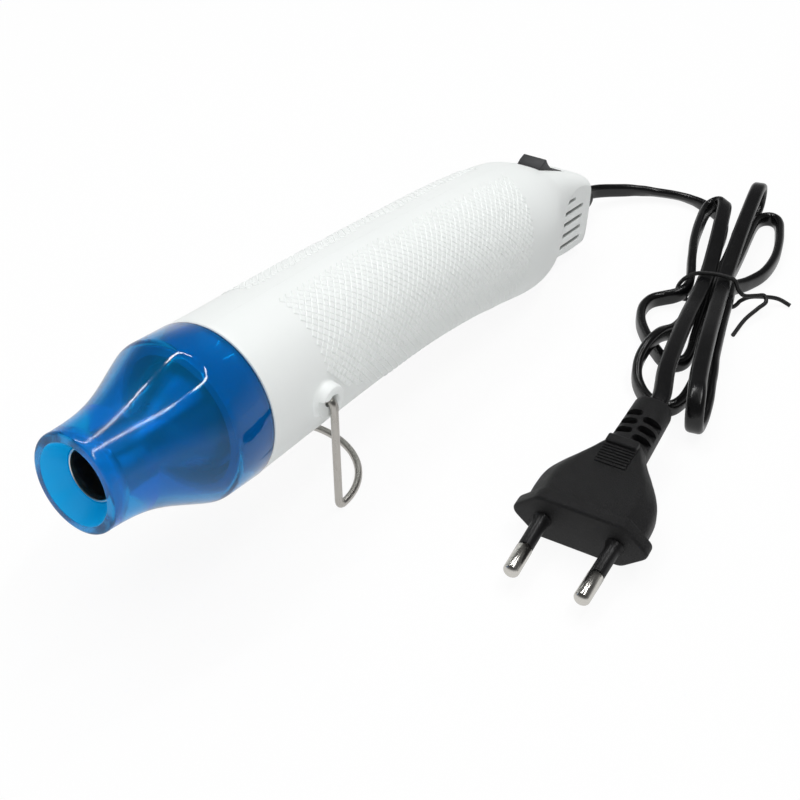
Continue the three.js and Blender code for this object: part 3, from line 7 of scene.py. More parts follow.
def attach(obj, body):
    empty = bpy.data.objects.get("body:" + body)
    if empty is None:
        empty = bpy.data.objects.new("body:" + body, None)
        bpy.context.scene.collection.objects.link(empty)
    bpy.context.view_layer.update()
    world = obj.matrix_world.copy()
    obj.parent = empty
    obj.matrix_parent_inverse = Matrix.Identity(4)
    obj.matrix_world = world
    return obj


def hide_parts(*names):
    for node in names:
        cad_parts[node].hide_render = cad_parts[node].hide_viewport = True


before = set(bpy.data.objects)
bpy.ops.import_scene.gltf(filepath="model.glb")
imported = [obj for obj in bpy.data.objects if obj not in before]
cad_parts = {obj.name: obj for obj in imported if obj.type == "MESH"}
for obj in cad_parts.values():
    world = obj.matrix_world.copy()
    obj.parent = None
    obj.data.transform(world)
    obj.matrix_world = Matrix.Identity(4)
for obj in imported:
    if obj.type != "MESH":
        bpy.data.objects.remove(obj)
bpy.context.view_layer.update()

# Camera: a product shot from the front left, looking down at the table.
# It stands about a third of a metre from the middle of the tool, with a normal lens.
CAMERA_SPOT = (-0.23366, -0.16365, 0.20117)
CAMERA_TURN = Matrix((
    (0.5655, 0.4943, -0.6602),
    (-0.8247, 0.3322, -0.4577),
    (-0.0069, 0.8033, 0.5955),
))
LENS = 54
FILM_WIDTH = 36
bpy.ops.object.camera_add()
camera = bpy.context.object
camera.data.lens = LENS
camera.data.sensor_width = FILM_WIDTH
camera.matrix_world = Matrix.Translation(CAMERA_SPOT) @ CAMERA_TURN.to_4x4()
bpy.context.scene.camera = camera

# Mains lead: flat twin cord in black PVC, extruded in one length of about a metre.
# It leaves the gland on edge, is folded into a small hank beside the tool and ends in the plug.
MM = 0.001
CORD_WIDE = 5.0
CORD_THIN = 2.8
CORD_STEP = 1.0
HALF_ROUND_STEPS = 8
TABLE_GAP = 0.06
UP = Vector((0, 0, 1))
PLUG_PLACE = (
    Matrix.Translation((-38.193, -79.0, 7.012))
    @ Matrix.Rotation(math.radians(4.0), 4, "Z")
    @ Matrix.Rotation(math.radians(-6.0), 4, "Y")
)
HANK_X = 83.807
HANK_Y = -62
HANK_TURN = math.radians(14.1)


def hank_spot(s, t, z):
    """The place s along the hank, t across it and z over the table."""
    return Vector((
        HANK_X + s * math.cos(HANK_TURN) + t * math.sin(HANK_TURN),
        HANK_Y + s * math.sin(HANK_TURN) - t * math.cos(HANK_TURN),
        z,
    ))


# The lead leaves the gland upright and leans towards the front on its way round to the hank.
# A stop is its place along the hank, across it and over the table, and how far the flat has turned over.
lead_rows = [
    (61.5, -41.3, 4.3, 0.15), (64.8, -35.3, 3.6, 0.4), (66.9, -29.6, 2.9, 0.58), (67.4, -22, 2.6, 0.6),
    (65.8, -16.6, 2.55, 0.5), (63.2, -12.4, 2.55, 0.3), (59.7, -8.1, 2.55, 0.1),
]
hank_rows = [
    (54.4, -4.4, 2.55, 0), (47, -2.8, 2.55, 0), (38, -2.6, 2.55, 0), (28, -3.6, 2.55, 0),
    (20.3, -4.5, 2.6, 0), (15, -4.5, 2.7, 0), (10, -4.5, 3.1, 0), (6, -4.5, 4.25, 0), (1, -4.5, 4.25, 0),
    (-4, -4.5, 4.25, 0), (-14, -5.2, 4.4, 0), (-25, -7.5, 5.2, 0), (-34, -10.8, 8.1, 0),
    (-40.5, -12.9, 7.9, 0), (-46, -14, 5.6, 0), (-51, -13.2, 3.5, 0), (-55.5, -10.9, 2.6, 0),
    (-59, -8.2, 2.55, 0), (-61, -5.2, 2.55, 0), (-60.4, -2, 2.55, 0), (-57, 0.2, 2.55, 0),
    (-50, 1.6, 2.55, 0), (-38, 2.3, 2.55, 0), (-24, 2.3, 2.8, 0), (-12, 2.1, 3.6, 0), (-4, 2.1, 4.25, 0),
    (1, 2.1, 4.25, 0), (6, 2.1, 4.25, 0), (14, 3.2, 3.1, 0), (22, 4.1, 2.6, 0), (34, 5.1, 2.55, 0),
    (46, 5.9, 2.55, 0), (53, 6.5, 2.55, 0), (57, 7.4, 2.55, 0), (59.5, 9, 2.55, 0), (60.5, 11.2, 2.55, 0),
    (59.3, 13.3, 2.55, 0), (56.2, 14.6, 2.55, 0), (51, 15.3, 2.55, 0), (43, 15.9, 2.55, 0),
    (31.5, 15.6, 2.55, 0), (21, 13.3, 2.55, 0), (13, 9.2, 2.9, 0), (6, 5.4, 4.25, 0), (1, 5.4, 4.25, 0),
    (-4, 5.4, 4.25, 0), (-14, 5.4, 3.2, 0), (-30, 5.8, 2.55, 0), (-44, 6.2, 2.3, 0.4),
    (-55, 6.4, 1.75, 0.85), (-60, 6.3, 1.5, 1), (-64.5, 6, 1.75, 1), (-68.2, 5.7, 3.4, 1),
    (-69.8, 5.4, 7.1, 1), (-68.2, 5, 10.8, 1), (-64.5, 4.6, 12.5, 1), (-58, 3.9, 12.6, 1),
    (-38, 3.1, 11.9, 1), (-20, 2.8, 10.2, 1), (-4, 2.65, 8.65, 1), (1, 2.65, 8.65, 1), (6, 2.65, 8.65, 1),
    (14, 2.9, 9.6, 1), (26, 3.4, 11.2, 1), (45, 4.3, 12.6, 1), (58, 5, 13.1, 1), (63, 5.3, 12.6, 1),
    (66.7, 5.6, 10.8, 1), (67.95, 5.8, 7.2, 1), (66.5, 5.7, 3.5, 1), (62.5, 5, 1.8, 1),
    (57.5, 3.5, 1.7, 0.75), (50, 1.9, 2.2, 0.3), (38, 1.5, 2.55, 0), (24, 0.7, 2.6, 0), (13, -0.6, 3.3, 0),
    (6, -1.2, 4.25, 0), (1, -1.2, 4.25, 0), (-4, -1.2, 4.25, 0), (-13, -1.3, 3.3, 0), (-24, -1.4, 2.55, 0),
    (-32, -1.3, 2.55, 0), (-37, -2.3, 2.55, 0), (-39.2, -5, 2.55, 0), (-37.6, -8.2, 2.55, 0),
    (-33.5, -11.3, 2.55, 0), (-27.5, -15, 2.55, 0), (-19.7, -18.2, 2.55, 0), (-12, -19, 2.55, 0),
    (-6.5, -17.2, 2.55, 0), (-4.2, -14, 2.9, 0), (-3.2, -11.2, 3.6, 0), (-1.2, -9, 4.1, 0),
    (2, -7.9, 4.4, 0), (7, -7.9, 5.2, 0), (16, -9.2, 6.6, 0), (28, -10.3, 7.4, -0.1),
    (40, -10.4, 7.6, -0.2), (48.5, -10, 7.6, -0.25), (51.5, -9.1, 8.1, -0.3), (52.7, -7, 9.3, -0.4),
    (51.5, -4.9, 10.5, -0.6), (48.5, -4.1, 11, -0.85), (38, -3.5, 11, -1), (24, -3, 10, -1),
    (13, -2.75, 9, -1), (6, -2.65, 8.65, -1), (1, -2.85, 8.65, -1), (-4, -3.1, 8.75, -1),
    (-10, -3.45, 9, -1), (-15, -3.75, 9.3, -1), (-24, -4.25, 10.2, -1), (-42, -4.85, 11.7, -1),
    (-57, -4.9, 12.6, -1),
]
along_hank = hank_spot(1, 0, 0) - hank_spot(0, 0, 0)
across_hank = hank_spot(0, 1, 0) - hank_spot(0, 0, 0)
# The lead starts inside the gland and ends inside the boot of the plug.
GLAND_STOPS = ((114.796, 0, 6.838), (122.856, 0, 6.031))
BOOT_STOPS = (53.3, 48.3, 44)
cord_stops = [(Vector(stop), UP) for stop in GLAND_STOPS]
for rows, sideways in ((lead_rows, -along_hank), (hank_rows, across_hank)):
    for s, t, z, lie in rows:
        turn = lie * math.pi / 2
        cord_stops.append((hank_spot(s, t, z), sideways * math.sin(turn) + UP * math.cos(turn)))
for x in BOOT_STOPS:
    cord_stops.append((PLUG_PLACE @ Vector((x, 0, 0)), -across_hank))


def eased(b, c, into, away, w):
    """The place a share w of the way from b to c, on a cubic with the given slopes at its ends."""
    return b + into * w + (3 * (c - b) - 2 * into - away) * w ** 2 + (2 * (b - c) + into + away) * w ** 3


def smooth_route(points, per_span):
    """A centripetal Catmull-Rom curve through points: each place with its span and share of it."""
    ends = [2 * points[0] - points[1], *points, 2 * points[-1] - points[-2]]
    made = []
    for k in range(len(points) - 1):
        a, b, c, d = ends[k:k + 4]
        t0, t1, t2 = (max(1e-4, (q - p).length) ** 0.5 for p, q in ((a, b), (b, c), (c, d)))
        into = ((b - a) / t0 - (c - a) / (t0 + t1) + (c - b) / t1) * t1
        away = ((c - b) / t1 - (d - b) / (t1 + t2) + (d - c) / t2) * t1
        for i in range(per_span):
            w = i / per_span
            made.append((eased(b, c, into, away, w), k, w))
    made.append((points[-1], len(points) - 2, 1.0))
    return made


def even_steps(places, spacing):
    """Numbers of the places that stand about one spacing apart."""
    kept = [0]
    run = 0.0
    for i in range(1, len(places)):
        run += (places[i] - places[i - 1]).length
        if run >= spacing:
            kept.append(i)
            run = 0.0
    if kept[-1] != len(places) - 1:
        kept.append(len(places) - 1)
    return kept


cord_line = []
cord_wides = []
for place, k, w in smooth_route([spot for spot, _ in cord_stops], per_span=30):
    wide = cord_stops[k][1].lerp(cord_stops[k + 1][1], w * w * (3 - 2 * w)).normalized()
    place.z = max(place.z, CORD_THIN / 2 + (CORD_WIDE - CORD_THIN) / 2 * abs(wide.z) + TABLE_GAP)
    cord_line.append(place)
    cord_wides.append(wide)
steps = even_steps(cord_line, CORD_STEP)
cord_line = [cord_line[i] for i in steps]
cord_wides = [cord_wides[i] for i in steps]

section = []
for side, first in ((1, 0), (-1, 180)):
    for k in range(HALF_ROUND_STEPS + 1):
        angle = math.radians(first + 180 * k / HALF_ROUND_STEPS)
        section.append((
            CORD_THIN / 2 * math.cos(angle),
            side * (CORD_WIDE - CORD_THIN) / 2 + CORD_THIN / 2 * math.sin(angle),
        ))
ring_size = len(section)
cord_points = []
cord_faces = []
for i, (place, wide) in enumerate(zip(cord_line, cord_wides)):
    along = (cord_line[min(i + 1, len(cord_line) - 1)] - cord_line[max(i - 1, 0)]).normalized()
    wide = (wide - along * wide.dot(along)).normalized()
    thin = along.cross(wide)
    cord_points += [(place + thin * u + wide * v) * MM for u, v in section]
    if i:
        for k in range(ring_size):
            a, b = (i - 1) * ring_size + k, (i - 1) * ring_size + (k + 1) % ring_size
            cord_faces.append((a, b, b + ring_size, a + ring_size))
cord_faces.append(tuple(range(ring_size - 1, -1, -1)))
cord_faces.append(tuple(range(len(cord_points) - ring_size, len(cord_points))))
cord_mesh = bpy.data.meshes.new("mains_lead")
cord_mesh.from_pydata(cord_points, [], cord_faces)
mains_lead = bpy.data.objects.new("mains_lead", cord_mesh)
bpy.context.collection.objects.link(mains_lead)


def take(piece=None):
    """Leaves only this piece selected and active."""
    bpy.ops.object.select_all(action="DESELECT")
    if piece:
        piece.select_set(True)
    bpy.context.view_layer.objects.active = piece


def smoothed(piece, degrees):
    take(piece)
    bpy.ops.object.shade_smooth_by_angle(angle=math.radians(degrees))
    return piece


smoothed(mains_lead, 50)


class Tap:
    """One output in a finish's nodes: sums and products of taps add Math nodes to it."""

    def __init__(self, tree, socket):
        self.tree = tree
        self.socket = socket

    def node(self, kind, settings, values, out=0):
        made = self.tree.nodes.new(kind)
        for name, value in settings.items():
            if name == "stops":
                while len(made.color_ramp.elements) < len(value):
                    made.color_ramp.elements.new(1)
                for stop, (place, colour) in zip(made.color_ramp.elements, value):
                    stop.position = place
                    stop.color = (*colour, 1)
            else:
                setattr(made, name, value)
        for name, value in values.items():
            if isinstance(value, Tap):
                self.tree.links.new(value.socket, made.inputs[name])
            else:
                made.inputs[name].default_value = value
        return Tap(self.tree, made.outputs[out])

    def sum(self, kind, other, turned=False):
        first, second = (other, self) if turned else (self, other)
        return self.node("ShaderNodeMath", {"operation": kind}, {0: first, 1: second})

    def __add__(self, other):
        return self.sum("ADD", other)

    def __sub__(self, other):
        return self.sum("SUBTRACT", other)

    def __rsub__(self, other):
        return self.sum("SUBTRACT", other, True)

    def __mul__(self, other):
        return self.sum("MULTIPLY", other)

    __radd__ = __add__
    __rmul__ = __mul__

    def noise(self, scale, detail):
        return self.node("ShaderNodeTexNoise", {}, {"Vector": self, "Scale": scale, "Detail": detail})

    def colour(self, *ends):
        """A colour between two, each written out or a tap, by this tap's value."""
        first, second = (end if isinstance(end, Tap) else (*end, 1) for end in ends)
        return self.node("ShaderNodeMix", {"data_type": "RGBA"}, {0: self, 6: first, 7: second}, 2)

    def axis(self, name):
        return self.node("ShaderNodeSeparateXYZ", {}, {"Vector": self}, name)

    def share(self, start, end):
        """How far this tap's value has come from a start to an end, from 0 to 1."""
        return self.node("ShaderNodeMapRange", {}, {"Value": self, 1: start, 2: end, 3: 0.0, 4: 1.0})

    def relief(self, depth):
        return self.node("ShaderNodeBump", {}, {"Height": self, "Distance": depth, "Strength": 1.0})

    def into(self, shader, name):
        self.tree.links.new(self.socket, shader.inputs[name])


def new_finish(name, fixed):
    """A finish with its fixed sockets set: the material, its shader and the piece's own coordinates."""
    material = bpy.data.materials.new(name)
    material.use_nodes = True
    shader = material.node_tree.nodes["Principled BSDF"]
    for socket, value in fixed.items():
        shader.inputs[socket].default_value = value
    coords = material.node_tree.nodes.new("ShaderNodeTexCoord")
    return material, shader, Tap(material.node_tree, coords.outputs["Object"])


def moulded(name, dark, light, rough, grain, depth, shine=0.5):
    """Moulded plastic or rubber: faint clouds of colour, uneven gloss and a fine grain."""
    material, shader, spot = new_finish(name, {"Specular IOR Level": shine})
    clouds = spot.noise(140, 3)
    fine = spot.noise(grain, 3)
    (clouds * 0.7 + fine * 0.3).colour(dark, light).into(shader, "Base Color")
    (rough[0] + (rough[1] - rough[0]) * clouds + (fine - 0.5) * 0.06).into(shader, "Roughness")
    fine.relief(depth).into(shader, "Normal")
    return material


def wear(piece, finish, body, slot, *nodes):
    """Gives a piece its finish and the body that carries it, and hides the nodes that it stands for. The slot
    is not used.
    """
    piece.data.materials.clear()
    piece.data.materials.append(finish)
    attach(piece, body)
    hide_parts(*nodes)


cord_black = moulded("cord_black", (0.0015, 0.0015, 0.0018), (0.005, 0.005, 0.0055), (0.2, 0.3), 900, 0.00003)
wear(mains_lead, cord_black, "tool", "cord_black", "cord_lead", "cord_hank", "cord_tail")

# Plug: a flat two-pin mains plug moulded in black PVC onto the end of the lead.
# A blunt hexagonal flange, a body that sweeps in to the neck, a ribbed grip pad and a slotted boot.


def skinned(name, rows):
    """A grid primitive laid over rows of points, each row closed on itself, with its ends filled."""
    take()
    count = len(rows[0])
    bpy.ops.mesh.primitive_grid_add(x_subdivisions=count, y_subdivisions=len(rows) - 1)
    piece = bpy.context.object
    piece.name = piece.data.name = name
    flat = [value for row in rows for point in (*row, row[0]) for value in point]
    piece.data.vertices.foreach_set("co", flat)
    bpy.ops.object.mode_set(mode="EDIT")
    bpy.ops.mesh.select_all(action="SELECT")
    bpy.ops.mesh.remove_doubles(threshold=1e-4)
    bpy.ops.mesh.fill_holes(sides=0)
    bpy.ops.mesh.select_all(action="SELECT")
    bpy.ops.mesh.normals_make_consistent(inside=False)
    bpy.ops.object.mode_set(mode="OBJECT")
    return piece


def hexagon(x, half_width, half_height, level, blunt, ease):
    """A row of points: a hexagon with level top and bottom, blunt sides and eased corners."""
    corners = [Vector(corner) for corner in (
        (half_width, -blunt), (half_width, blunt), (level, half_height), (-level, half_height),
        (-half_width, blunt), (-half_width, -blunt), (-level, -half_height), (level, -half_height),
    )]
    row = []
    for i, knee in enumerate(corners):
        before, after = corners[i - 1] - knee, corners[(i + 1) % 8] - knee
        # An eased corner takes up less than half of the side before it and of the side after it.
        first = knee + before.normalized() * min(ease * 0.4, before.length * 0.48)
        last = knee + after.normalized() * min(ease * 0.4, after.length * 0.48)
        for w in (0, 0.25, 0.5, 0.75, 1):
            spot = first * (1 - w) ** 2 + knee * 2 * w * (1 - w) + last * w ** 2
            row.append((x, spot.x, spot.y))
    return row


def table_row(table, x):
    """A row of a table of sizes at x, smooth between its lines."""
    k = max(0, min(len(table) - 2, sum(1 for row in table if row[0] <= x) - 1))
    rows = [table[max(0, k - 1)], table[k], table[k + 1], table[min(len(table) - 1, k + 2)]]
    w = (x - rows[1][0]) / (rows[2][0] - rows[1][0])
    made = [x]
    for a, b, c, d in list(zip(*rows))[1:]:
        into, away = (c - a) / 2, (d - b) / 2
        made.append(eased(b, c, into, away, w))
    return made


def finish_edges(piece, width, segments, degrees):
    """Eases the piece's edges that turn by more than some degrees."""
    take(piece)
    bpy.ops.object.modifier_add(type="BEVEL")
    bevel = piece.modifiers[-1]
    bevel.width = width
    bevel.segments = segments
    bevel.limit_method = "ANGLE"
    bevel.angle_limit = math.radians(degrees)
    bpy.ops.object.modifier_apply(modifier=bevel.name)
    return piece


def combine(piece, other, operation):
    """Adds another body to the piece, or cuts it away."""
    take(piece)
    bpy.ops.object.modifier_add(type="BOOLEAN")
    boolean = piece.modifiers[-1]
    boolean.operation = operation
    boolean.object = other
    boolean.solver = "MANIFOLD"
    bpy.ops.object.modifier_apply(modifier=boolean.name)
    bpy.data.objects.remove(other)
    return piece


# Place along the plug, half width, half height, half of the level top, half of the blunt side, easing.
plug_sizes = [
    (3.8, 15.1, 6.93, 10.2, 2.0, 3.2), (8, 15.15, 6.86, 10.6, 2.5, 4.0), (12.6, 14.62, 6.72, 10.2, 3.0, 4.4),
    (16.8, 12.73, 6.65, 8.8, 3.0, 4.4), (21, 9.98, 6.57, 6.8, 3.0, 3.6), (24.64, 7.4, 6.5, 5.1, 3.0, 2.6),
    (28, 5.68, 6.3, 3.78, 3.0, 2.0),
]
FLANGE_HALF_WIDTH = 17.2
FLANGE_HALF_HEIGHT = 6.95
FLANGE_LEVEL = 11.0
# Place along the flange, how far its sides are drawn in, and how far its top may be.
flange_rows = (
    (0, 0.75, 1), (0.06, 0.5, 1), (0.22, 0.22, 1), (0.45, 0.06, 1), (0.8, 0, 1),
    (3.2, 0, 0), (3.5, 0.1, 0), (3.66, 0.4, 0),
)
plug_rows = []
for x, drawn, lower in flange_rows:
    half_height = FLANGE_HALF_HEIGHT - min(drawn, lower)
    plug_rows.append(hexagon(x, FLANGE_HALF_WIDTH - drawn, half_height, FLANGE_LEVEL - drawn / 2, 1.0, 3.4))
body_start, body_end = plug_sizes[0][0], plug_sizes[-1][0]
BODY_ROWS = 30
for k in range(BODY_ROWS + 1):
    x = body_start + (body_end - body_start) * k / BODY_ROWS
    plug_rows.append(hexagon(*table_row(plug_sizes, x)))
plug_body = skinned("moulded_plug", plug_rows)

boot_rows = []
for x, half_width, half_height in (
    (26, 5.6, 4.9), (47.2, 5.15, 4.45), (47.7, 5.0, 4.3), (47.95, 4.7, 4.0), (48, 4.3, 3.6),
):
    boot_rows.append([
        (x, half_width * math.copysign(abs(math.cos(a)) ** 0.8, math.cos(a)),
         half_height * math.copysign(abs(math.sin(a)) ** 0.8, math.sin(a)))
        for a in (math.radians(7.5 * k) for k in range(48))
    ])
combine(plug_body, skinned("boot", boot_rows), "UNION")


def joined(*pieces):
    take(pieces[0])
    for piece in pieces:
        piece.select_set(True)
    bpy.ops.object.join()
    return pieces[0]


def block(low, high):
    """A box between two opposite corners."""
    low, high = [min(pair) for pair in zip(low, high)], [max(pair) for pair in zip(low, high)]
    take()
    bpy.ops.mesh.primitive_cube_add(
        size=1,
        location=[(a + b) / 2 for a, b in zip(low, high)],
        scale=[b - a for a, b in zip(low, high)],
    )
    bpy.ops.object.transform_apply(location=True, rotation=False, scale=True)
    return bpy.context.object


PAD_HALF_WIDTH = 4.1
BOOT_START = 28
BOOT_SLOT_X = 31.55
BOOT_SLOT_PITCH = 3.65
BOOT_SLOT_RADIUS = 1.22
for face in (1, -1):
    pad = block((17.6, -PAD_HALF_WIDTH, 5.4 * face), (24.8, PAD_HALF_WIDTH, 7.0 * face))
    combine(plug_body, finish_edges(pad, 0.25, 2, 30), "UNION")
    grooves = [block((18.3 + k, -6, 6.72 * face), (18.75 + k, 6, 9 * face)) for k in range(6)]
    combine(plug_body, joined(*grooves), "DIFFERENCE")
    bar = block((24.5, -PAD_HALF_WIDTH, 5.0 * face), (27.4, PAD_HALF_WIDTH, 7.95 * face))
    combine(plug_body, finish_edges(bar, 0.55, 4, 30), "UNION")
    slots = []
    for side in (-1, 1):
        for k in range(3):
            take()
            x = BOOT_SLOT_X + BOOT_SLOT_PITCH * (k + (0.5 if side > 0 else 0))
            bpy.ops.mesh.primitive_cylinder_add(vertices=24, radius=BOOT_SLOT_RADIUS, depth=10)
            slot = bpy.context.object
            # The slots sink with the taper of the boot.
            level = 7.2 - 0.045 * (x - BOOT_START)
            for vertex in slot.data.vertices:
                out = vertex.co.y + (1.6 if vertex.co.y < 0 else 6.0)
                vertex.co = (x + vertex.co.x, side * out, vertex.co.z + level * face)
            slots.append(slot)
    slots = joined(*slots)
    bpy.ops.object.mode_set(mode="EDIT")
    bpy.ops.mesh.select_all(action="SELECT")
    bpy.ops.mesh.normals_make_consistent(inside=False)
    bpy.ops.object.mode_set(mode="OBJECT")
    combine(plug_body, slots, "DIFFERENCE")
smoothed(plug_body, 28)


def seat(piece, place):
    """Moves a piece's mesh from its own axes in millimetres to the part's in metres."""
    piece.data.transform(Matrix.Scale(MM, 4) @ place)
    return piece


seat(plug_body, PLUG_PLACE)
plug_black = moulded(
    "plug_black", (0.003, 0.003, 0.0035), (0.009, 0.009, 0.0095), (0.4, 0.54), 3800, 0.0002, shine=0.32,
)
wear(plug_body, plug_black, "tool", "plug_black", "plug_body")

# Plug pins: turned and nickel-plated brass, with a rounded tip, leaning in a little at their ends.
# Half of each pin is covered by a thin moulded sleeve.


def turned(name, profile, steps):
    """Spins a closed profile of (radius, x) points about the X axis."""
    take()
    bpy.ops.mesh.primitive_circle_add(vertices=len(profile))
    piece = bpy.context.object
    piece.name = piece.data.name = name
    for vertex, (r, x) in zip(piece.data.vertices, profile):
        vertex.co = (x, 0, r)
    bpy.ops.object.mode_set(mode="EDIT")
    bpy.ops.mesh.select_all(action="SELECT")
    bpy.ops.mesh.spin(steps=steps, angle=2 * math.pi, center=(0, 0, 0), axis=(1, 0, 0))
    bpy.ops.mesh.select_all(action="SELECT")
    bpy.ops.mesh.remove_doubles(threshold=1e-4)
    bpy.ops.mesh.delete_loose()
    bpy.ops.mesh.select_all(action="SELECT")
    bpy.ops.mesh.normals_make_consistent(inside=False)
    bpy.ops.object.mode_set(mode="OBJECT")
    return piece


def plated(name, dark, light, rough, lines):
    """Bright metal with fine lines along X and faint clouds in its shine."""
    material, shader, spot = new_finish(name, {"Metallic": 1.0})
    drawn = spot.node("ShaderNodeMapping", {}, {"Vector": spot, "Scale": lines}).noise(1.0, 3)
    clouds = spot.noise(260, 3)
    (drawn * 0.5 + clouds * 0.5).colour(dark, light).into(shader, "Base Color")
    (rough[0] + (rough[1] - rough[0]) * clouds + (drawn - 0.5) * 0.1).into(shader, "Roughness")
    drawn.relief(0.00002).into(shader, "Normal")
    return material


pin_bright = plated("pin_bright", (0.62, 0.6, 0.55), (0.86, 0.84, 0.8), (0.16, 0.3), (300, 3000, 3000))
sleeve_black = moulded(
    "sleeve_black", (0.003, 0.003, 0.0035), (0.008, 0.008, 0.0085), (0.3, 0.45), 2200, 0.00003,
)
PIN_SPREAD = 9.3
PIN_REACH = 19
PIN_RADIUS = 2.0
PIN_TIP = 1.4
PIN_LEAN = math.asin(0.55 / PIN_REACH)
pin_pieces = []
for number, side in ((1, -1), (2, 1)):
    lean = Matrix.Translation((0, side * PIN_SPREAD, 0)) @ Matrix.Rotation(side * PIN_LEAN, 4, "Z")
    tip = []
    for k in range(7):
        angle = math.radians(15 * k)
        tip.append((PIN_RADIUS * math.sin(angle), PIN_TIP - PIN_REACH - PIN_TIP * math.cos(angle)))
    pin = turned(f"prong_{number}", [
        *tip, (PIN_RADIUS, -10.5), (1.85, -10.3), (1.3, -10.3), (1.3, 7), (0, 7),
    ], 32)
    wear(seat(smoothed(pin, 40), PLUG_PLACE @ lean), pin_bright, "tool", "pin_bright", f"plug_pin_{number}")
    sleeve = turned(f"prong_sleeve_{number}", [
        (1.6, -10), (1.78, -10), (1.9, -9.85), (1.9, -1.6), (2.25, -0.7), (2.4, -0.35), (1.6, -0.35),
    ], 32)
    seat(smoothed(sleeve, 40), PLUG_PLACE @ lean)
    wear(sleeve, sleeve_black, "tool", "sleeve_black", f"pin_sleeve_{number}")
    pin_pieces += [pin, sleeve]

# Twist tie: a soft iron wire in black plastic, wound once round the hank and crossed at its side.
# Both ends stand off loosely.
tie_line = [hank_spot(s, t, z) for s, t, z in (
    (7.8, 23.5, 0.9), (8.4, 19.5, 2.2), (5.6, 14.8, 3.6), (2.4, 10.8, 4.4), (1.2, 8.5, 3.2), (1, 7.9, 2.2),
    (1, 6.6, 0.85), (1, 3, 0.75), (1, -1.2, 0.74), (1, -6, 0.75), (1, -9.6, 0.95), (1, -10.8, 2.6),
    (1, -10.7, 5), (1, -9.2, 7.9), (1, -6.2, 10.3), (1, -2.85, 11.2), (1, 2.65, 11.2), (1, 5.9, 10.3),
    (0.6, 7.6, 7.4), (0.4, 9.4, 6), (2.6, 13, 5.4), (4.4, 15.3, 4.8), (2.8, 16.2, 3.8), (-0.6, 14.4, 3),
    (-6.6, 11.4, 2), (-15, 9, 0.84),
)]


def wire(name, points, radius):
    """A round wire along points: a bevelled curve made a mesh."""
    curve = bpy.data.curves.new(name, "CURVE")
    curve.dimensions = "3D"
    curve.bevel_depth = radius
    curve.bevel_resolution = 5
    curve.use_fill_caps = True
    spline = curve.splines.new("POLY")
    spline.points.add(len(points) - 1)
    for point, place in zip(spline.points, points):
        point.co = (*place, 1)
    piece = bpy.data.objects.new(name, curve)
    bpy.context.collection.objects.link(piece)
    take(piece)
    bpy.ops.object.convert(target="MESH")
    return smoothed(bpy.context.object, 45)


twist_tie = wire("tie_wire", [place for place, _, _ in smooth_route(tie_line, per_span=8)], 0.65)
seat(twist_tie, Matrix.Identity(4))
tie_black = moulded("tie_black", (0.004, 0.004, 0.004), (0.01, 0.01, 0.01), (0.4, 0.6), 1500, 0.00008)
wear(twist_tie, tie_black, "tool", "tie_black", "twist_tie")
cord_length = sum((b - a).length for a, b in zip(cord_line, cord_line[1:])) * MM
[place * MM for place in cord_line]

# Outlet tube: drawn steel, blued by heat, with a thin outlet, a cone and the barrel round the heater.
# It sits in the shells' ribs and ends in the funnel of the shield.
PIVOT_X = 59.8
PIVOT_SPOT = Vector((-57.193, 0, 33.6))
TOOL_TILT = math.radians(5.715696)
TOOL_PLACE = (
    Matrix.Translation(PIVOT_SPOT)
    @ Matrix.Rotation(TOOL_TILT, 4, "Y")
    @ Matrix.Translation((-PIVOT_X, 0, 0))
)
outlet_tube = turned("steel_outlet", [
    (6.25, 4.7), (6.45, 4.72), (6.6, 4.9), (6.6, 21.4), (6.75, 22.0), (13.4, 32.2), (13.7, 33.0), (13.7, 92),
    (13.2, 92), (13.2, 33.0), (12.9, 32.5), (6.3, 22.3), (6.1, 21.7), (6.1, 4.85),
], 72)
seat(smoothed(outlet_tube, 40), TOOL_PLACE)
outlet_steel, shader, spot = new_finish("outlet_steel", {"Metallic": 1.0})
heat = spot.noise(90, 4)
blued = heat.node("ShaderNodeValToRGB", {"stops": [
    (0.3, (0.66, 0.64, 0.6)), (0.5, (0.46, 0.42, 0.36)), (0.62, (0.4, 0.4, 0.44)), (0.8, (0.62, 0.61, 0.58)),
]}, {"Fac": heat})
lip = spot.axis("X").share(-0.1105, -0.1112)
lip.colour(blued, (0.85, 0.84, 0.8)).into(shader, "Base Color")
(0.2 + 0.2 * heat).into(shader, "Roughness")
wear(outlet_tube, outlet_steel, "tool", "outlet_steel", "outlet_tube")

# Heater: mica sleeve and cards, resistance wire wound round them, a ceramic holder and a thermal fuse.
# All of it is pushed into the barrel from behind.


def dress(finish, *nodes):
    """Gives carried-over nodes a finish."""
    for node in nodes:
        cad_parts[node].material_slots[0].material = finish


mica, shader, spot = new_finish("mica", {"Roughness": 0.45})
flakes = spot.node("ShaderNodeTexVoronoi", {}, {"Vector": spot, "Scale": 420})
flakes.colour((0.42, 0.34, 0.22), (0.62, 0.54, 0.4)).into(shader, "Base Color")
dress(mica, "mica_sleeve", "mica_card_upright", "mica_card_flat")
heater_wire = plated("heater_wire", (0.2, 0.19, 0.19), (0.36, 0.34, 0.33), (0.35, 0.5), (400, 400, 400))
dress(heater_wire, "heater_coil")
ceramic = moulded("ceramic", (0.7, 0.67, 0.6), (0.82, 0.79, 0.72), (0.5, 0.65), 1800, 0.00004)
dress(ceramic, "heater_holder", "thermal_fuse")

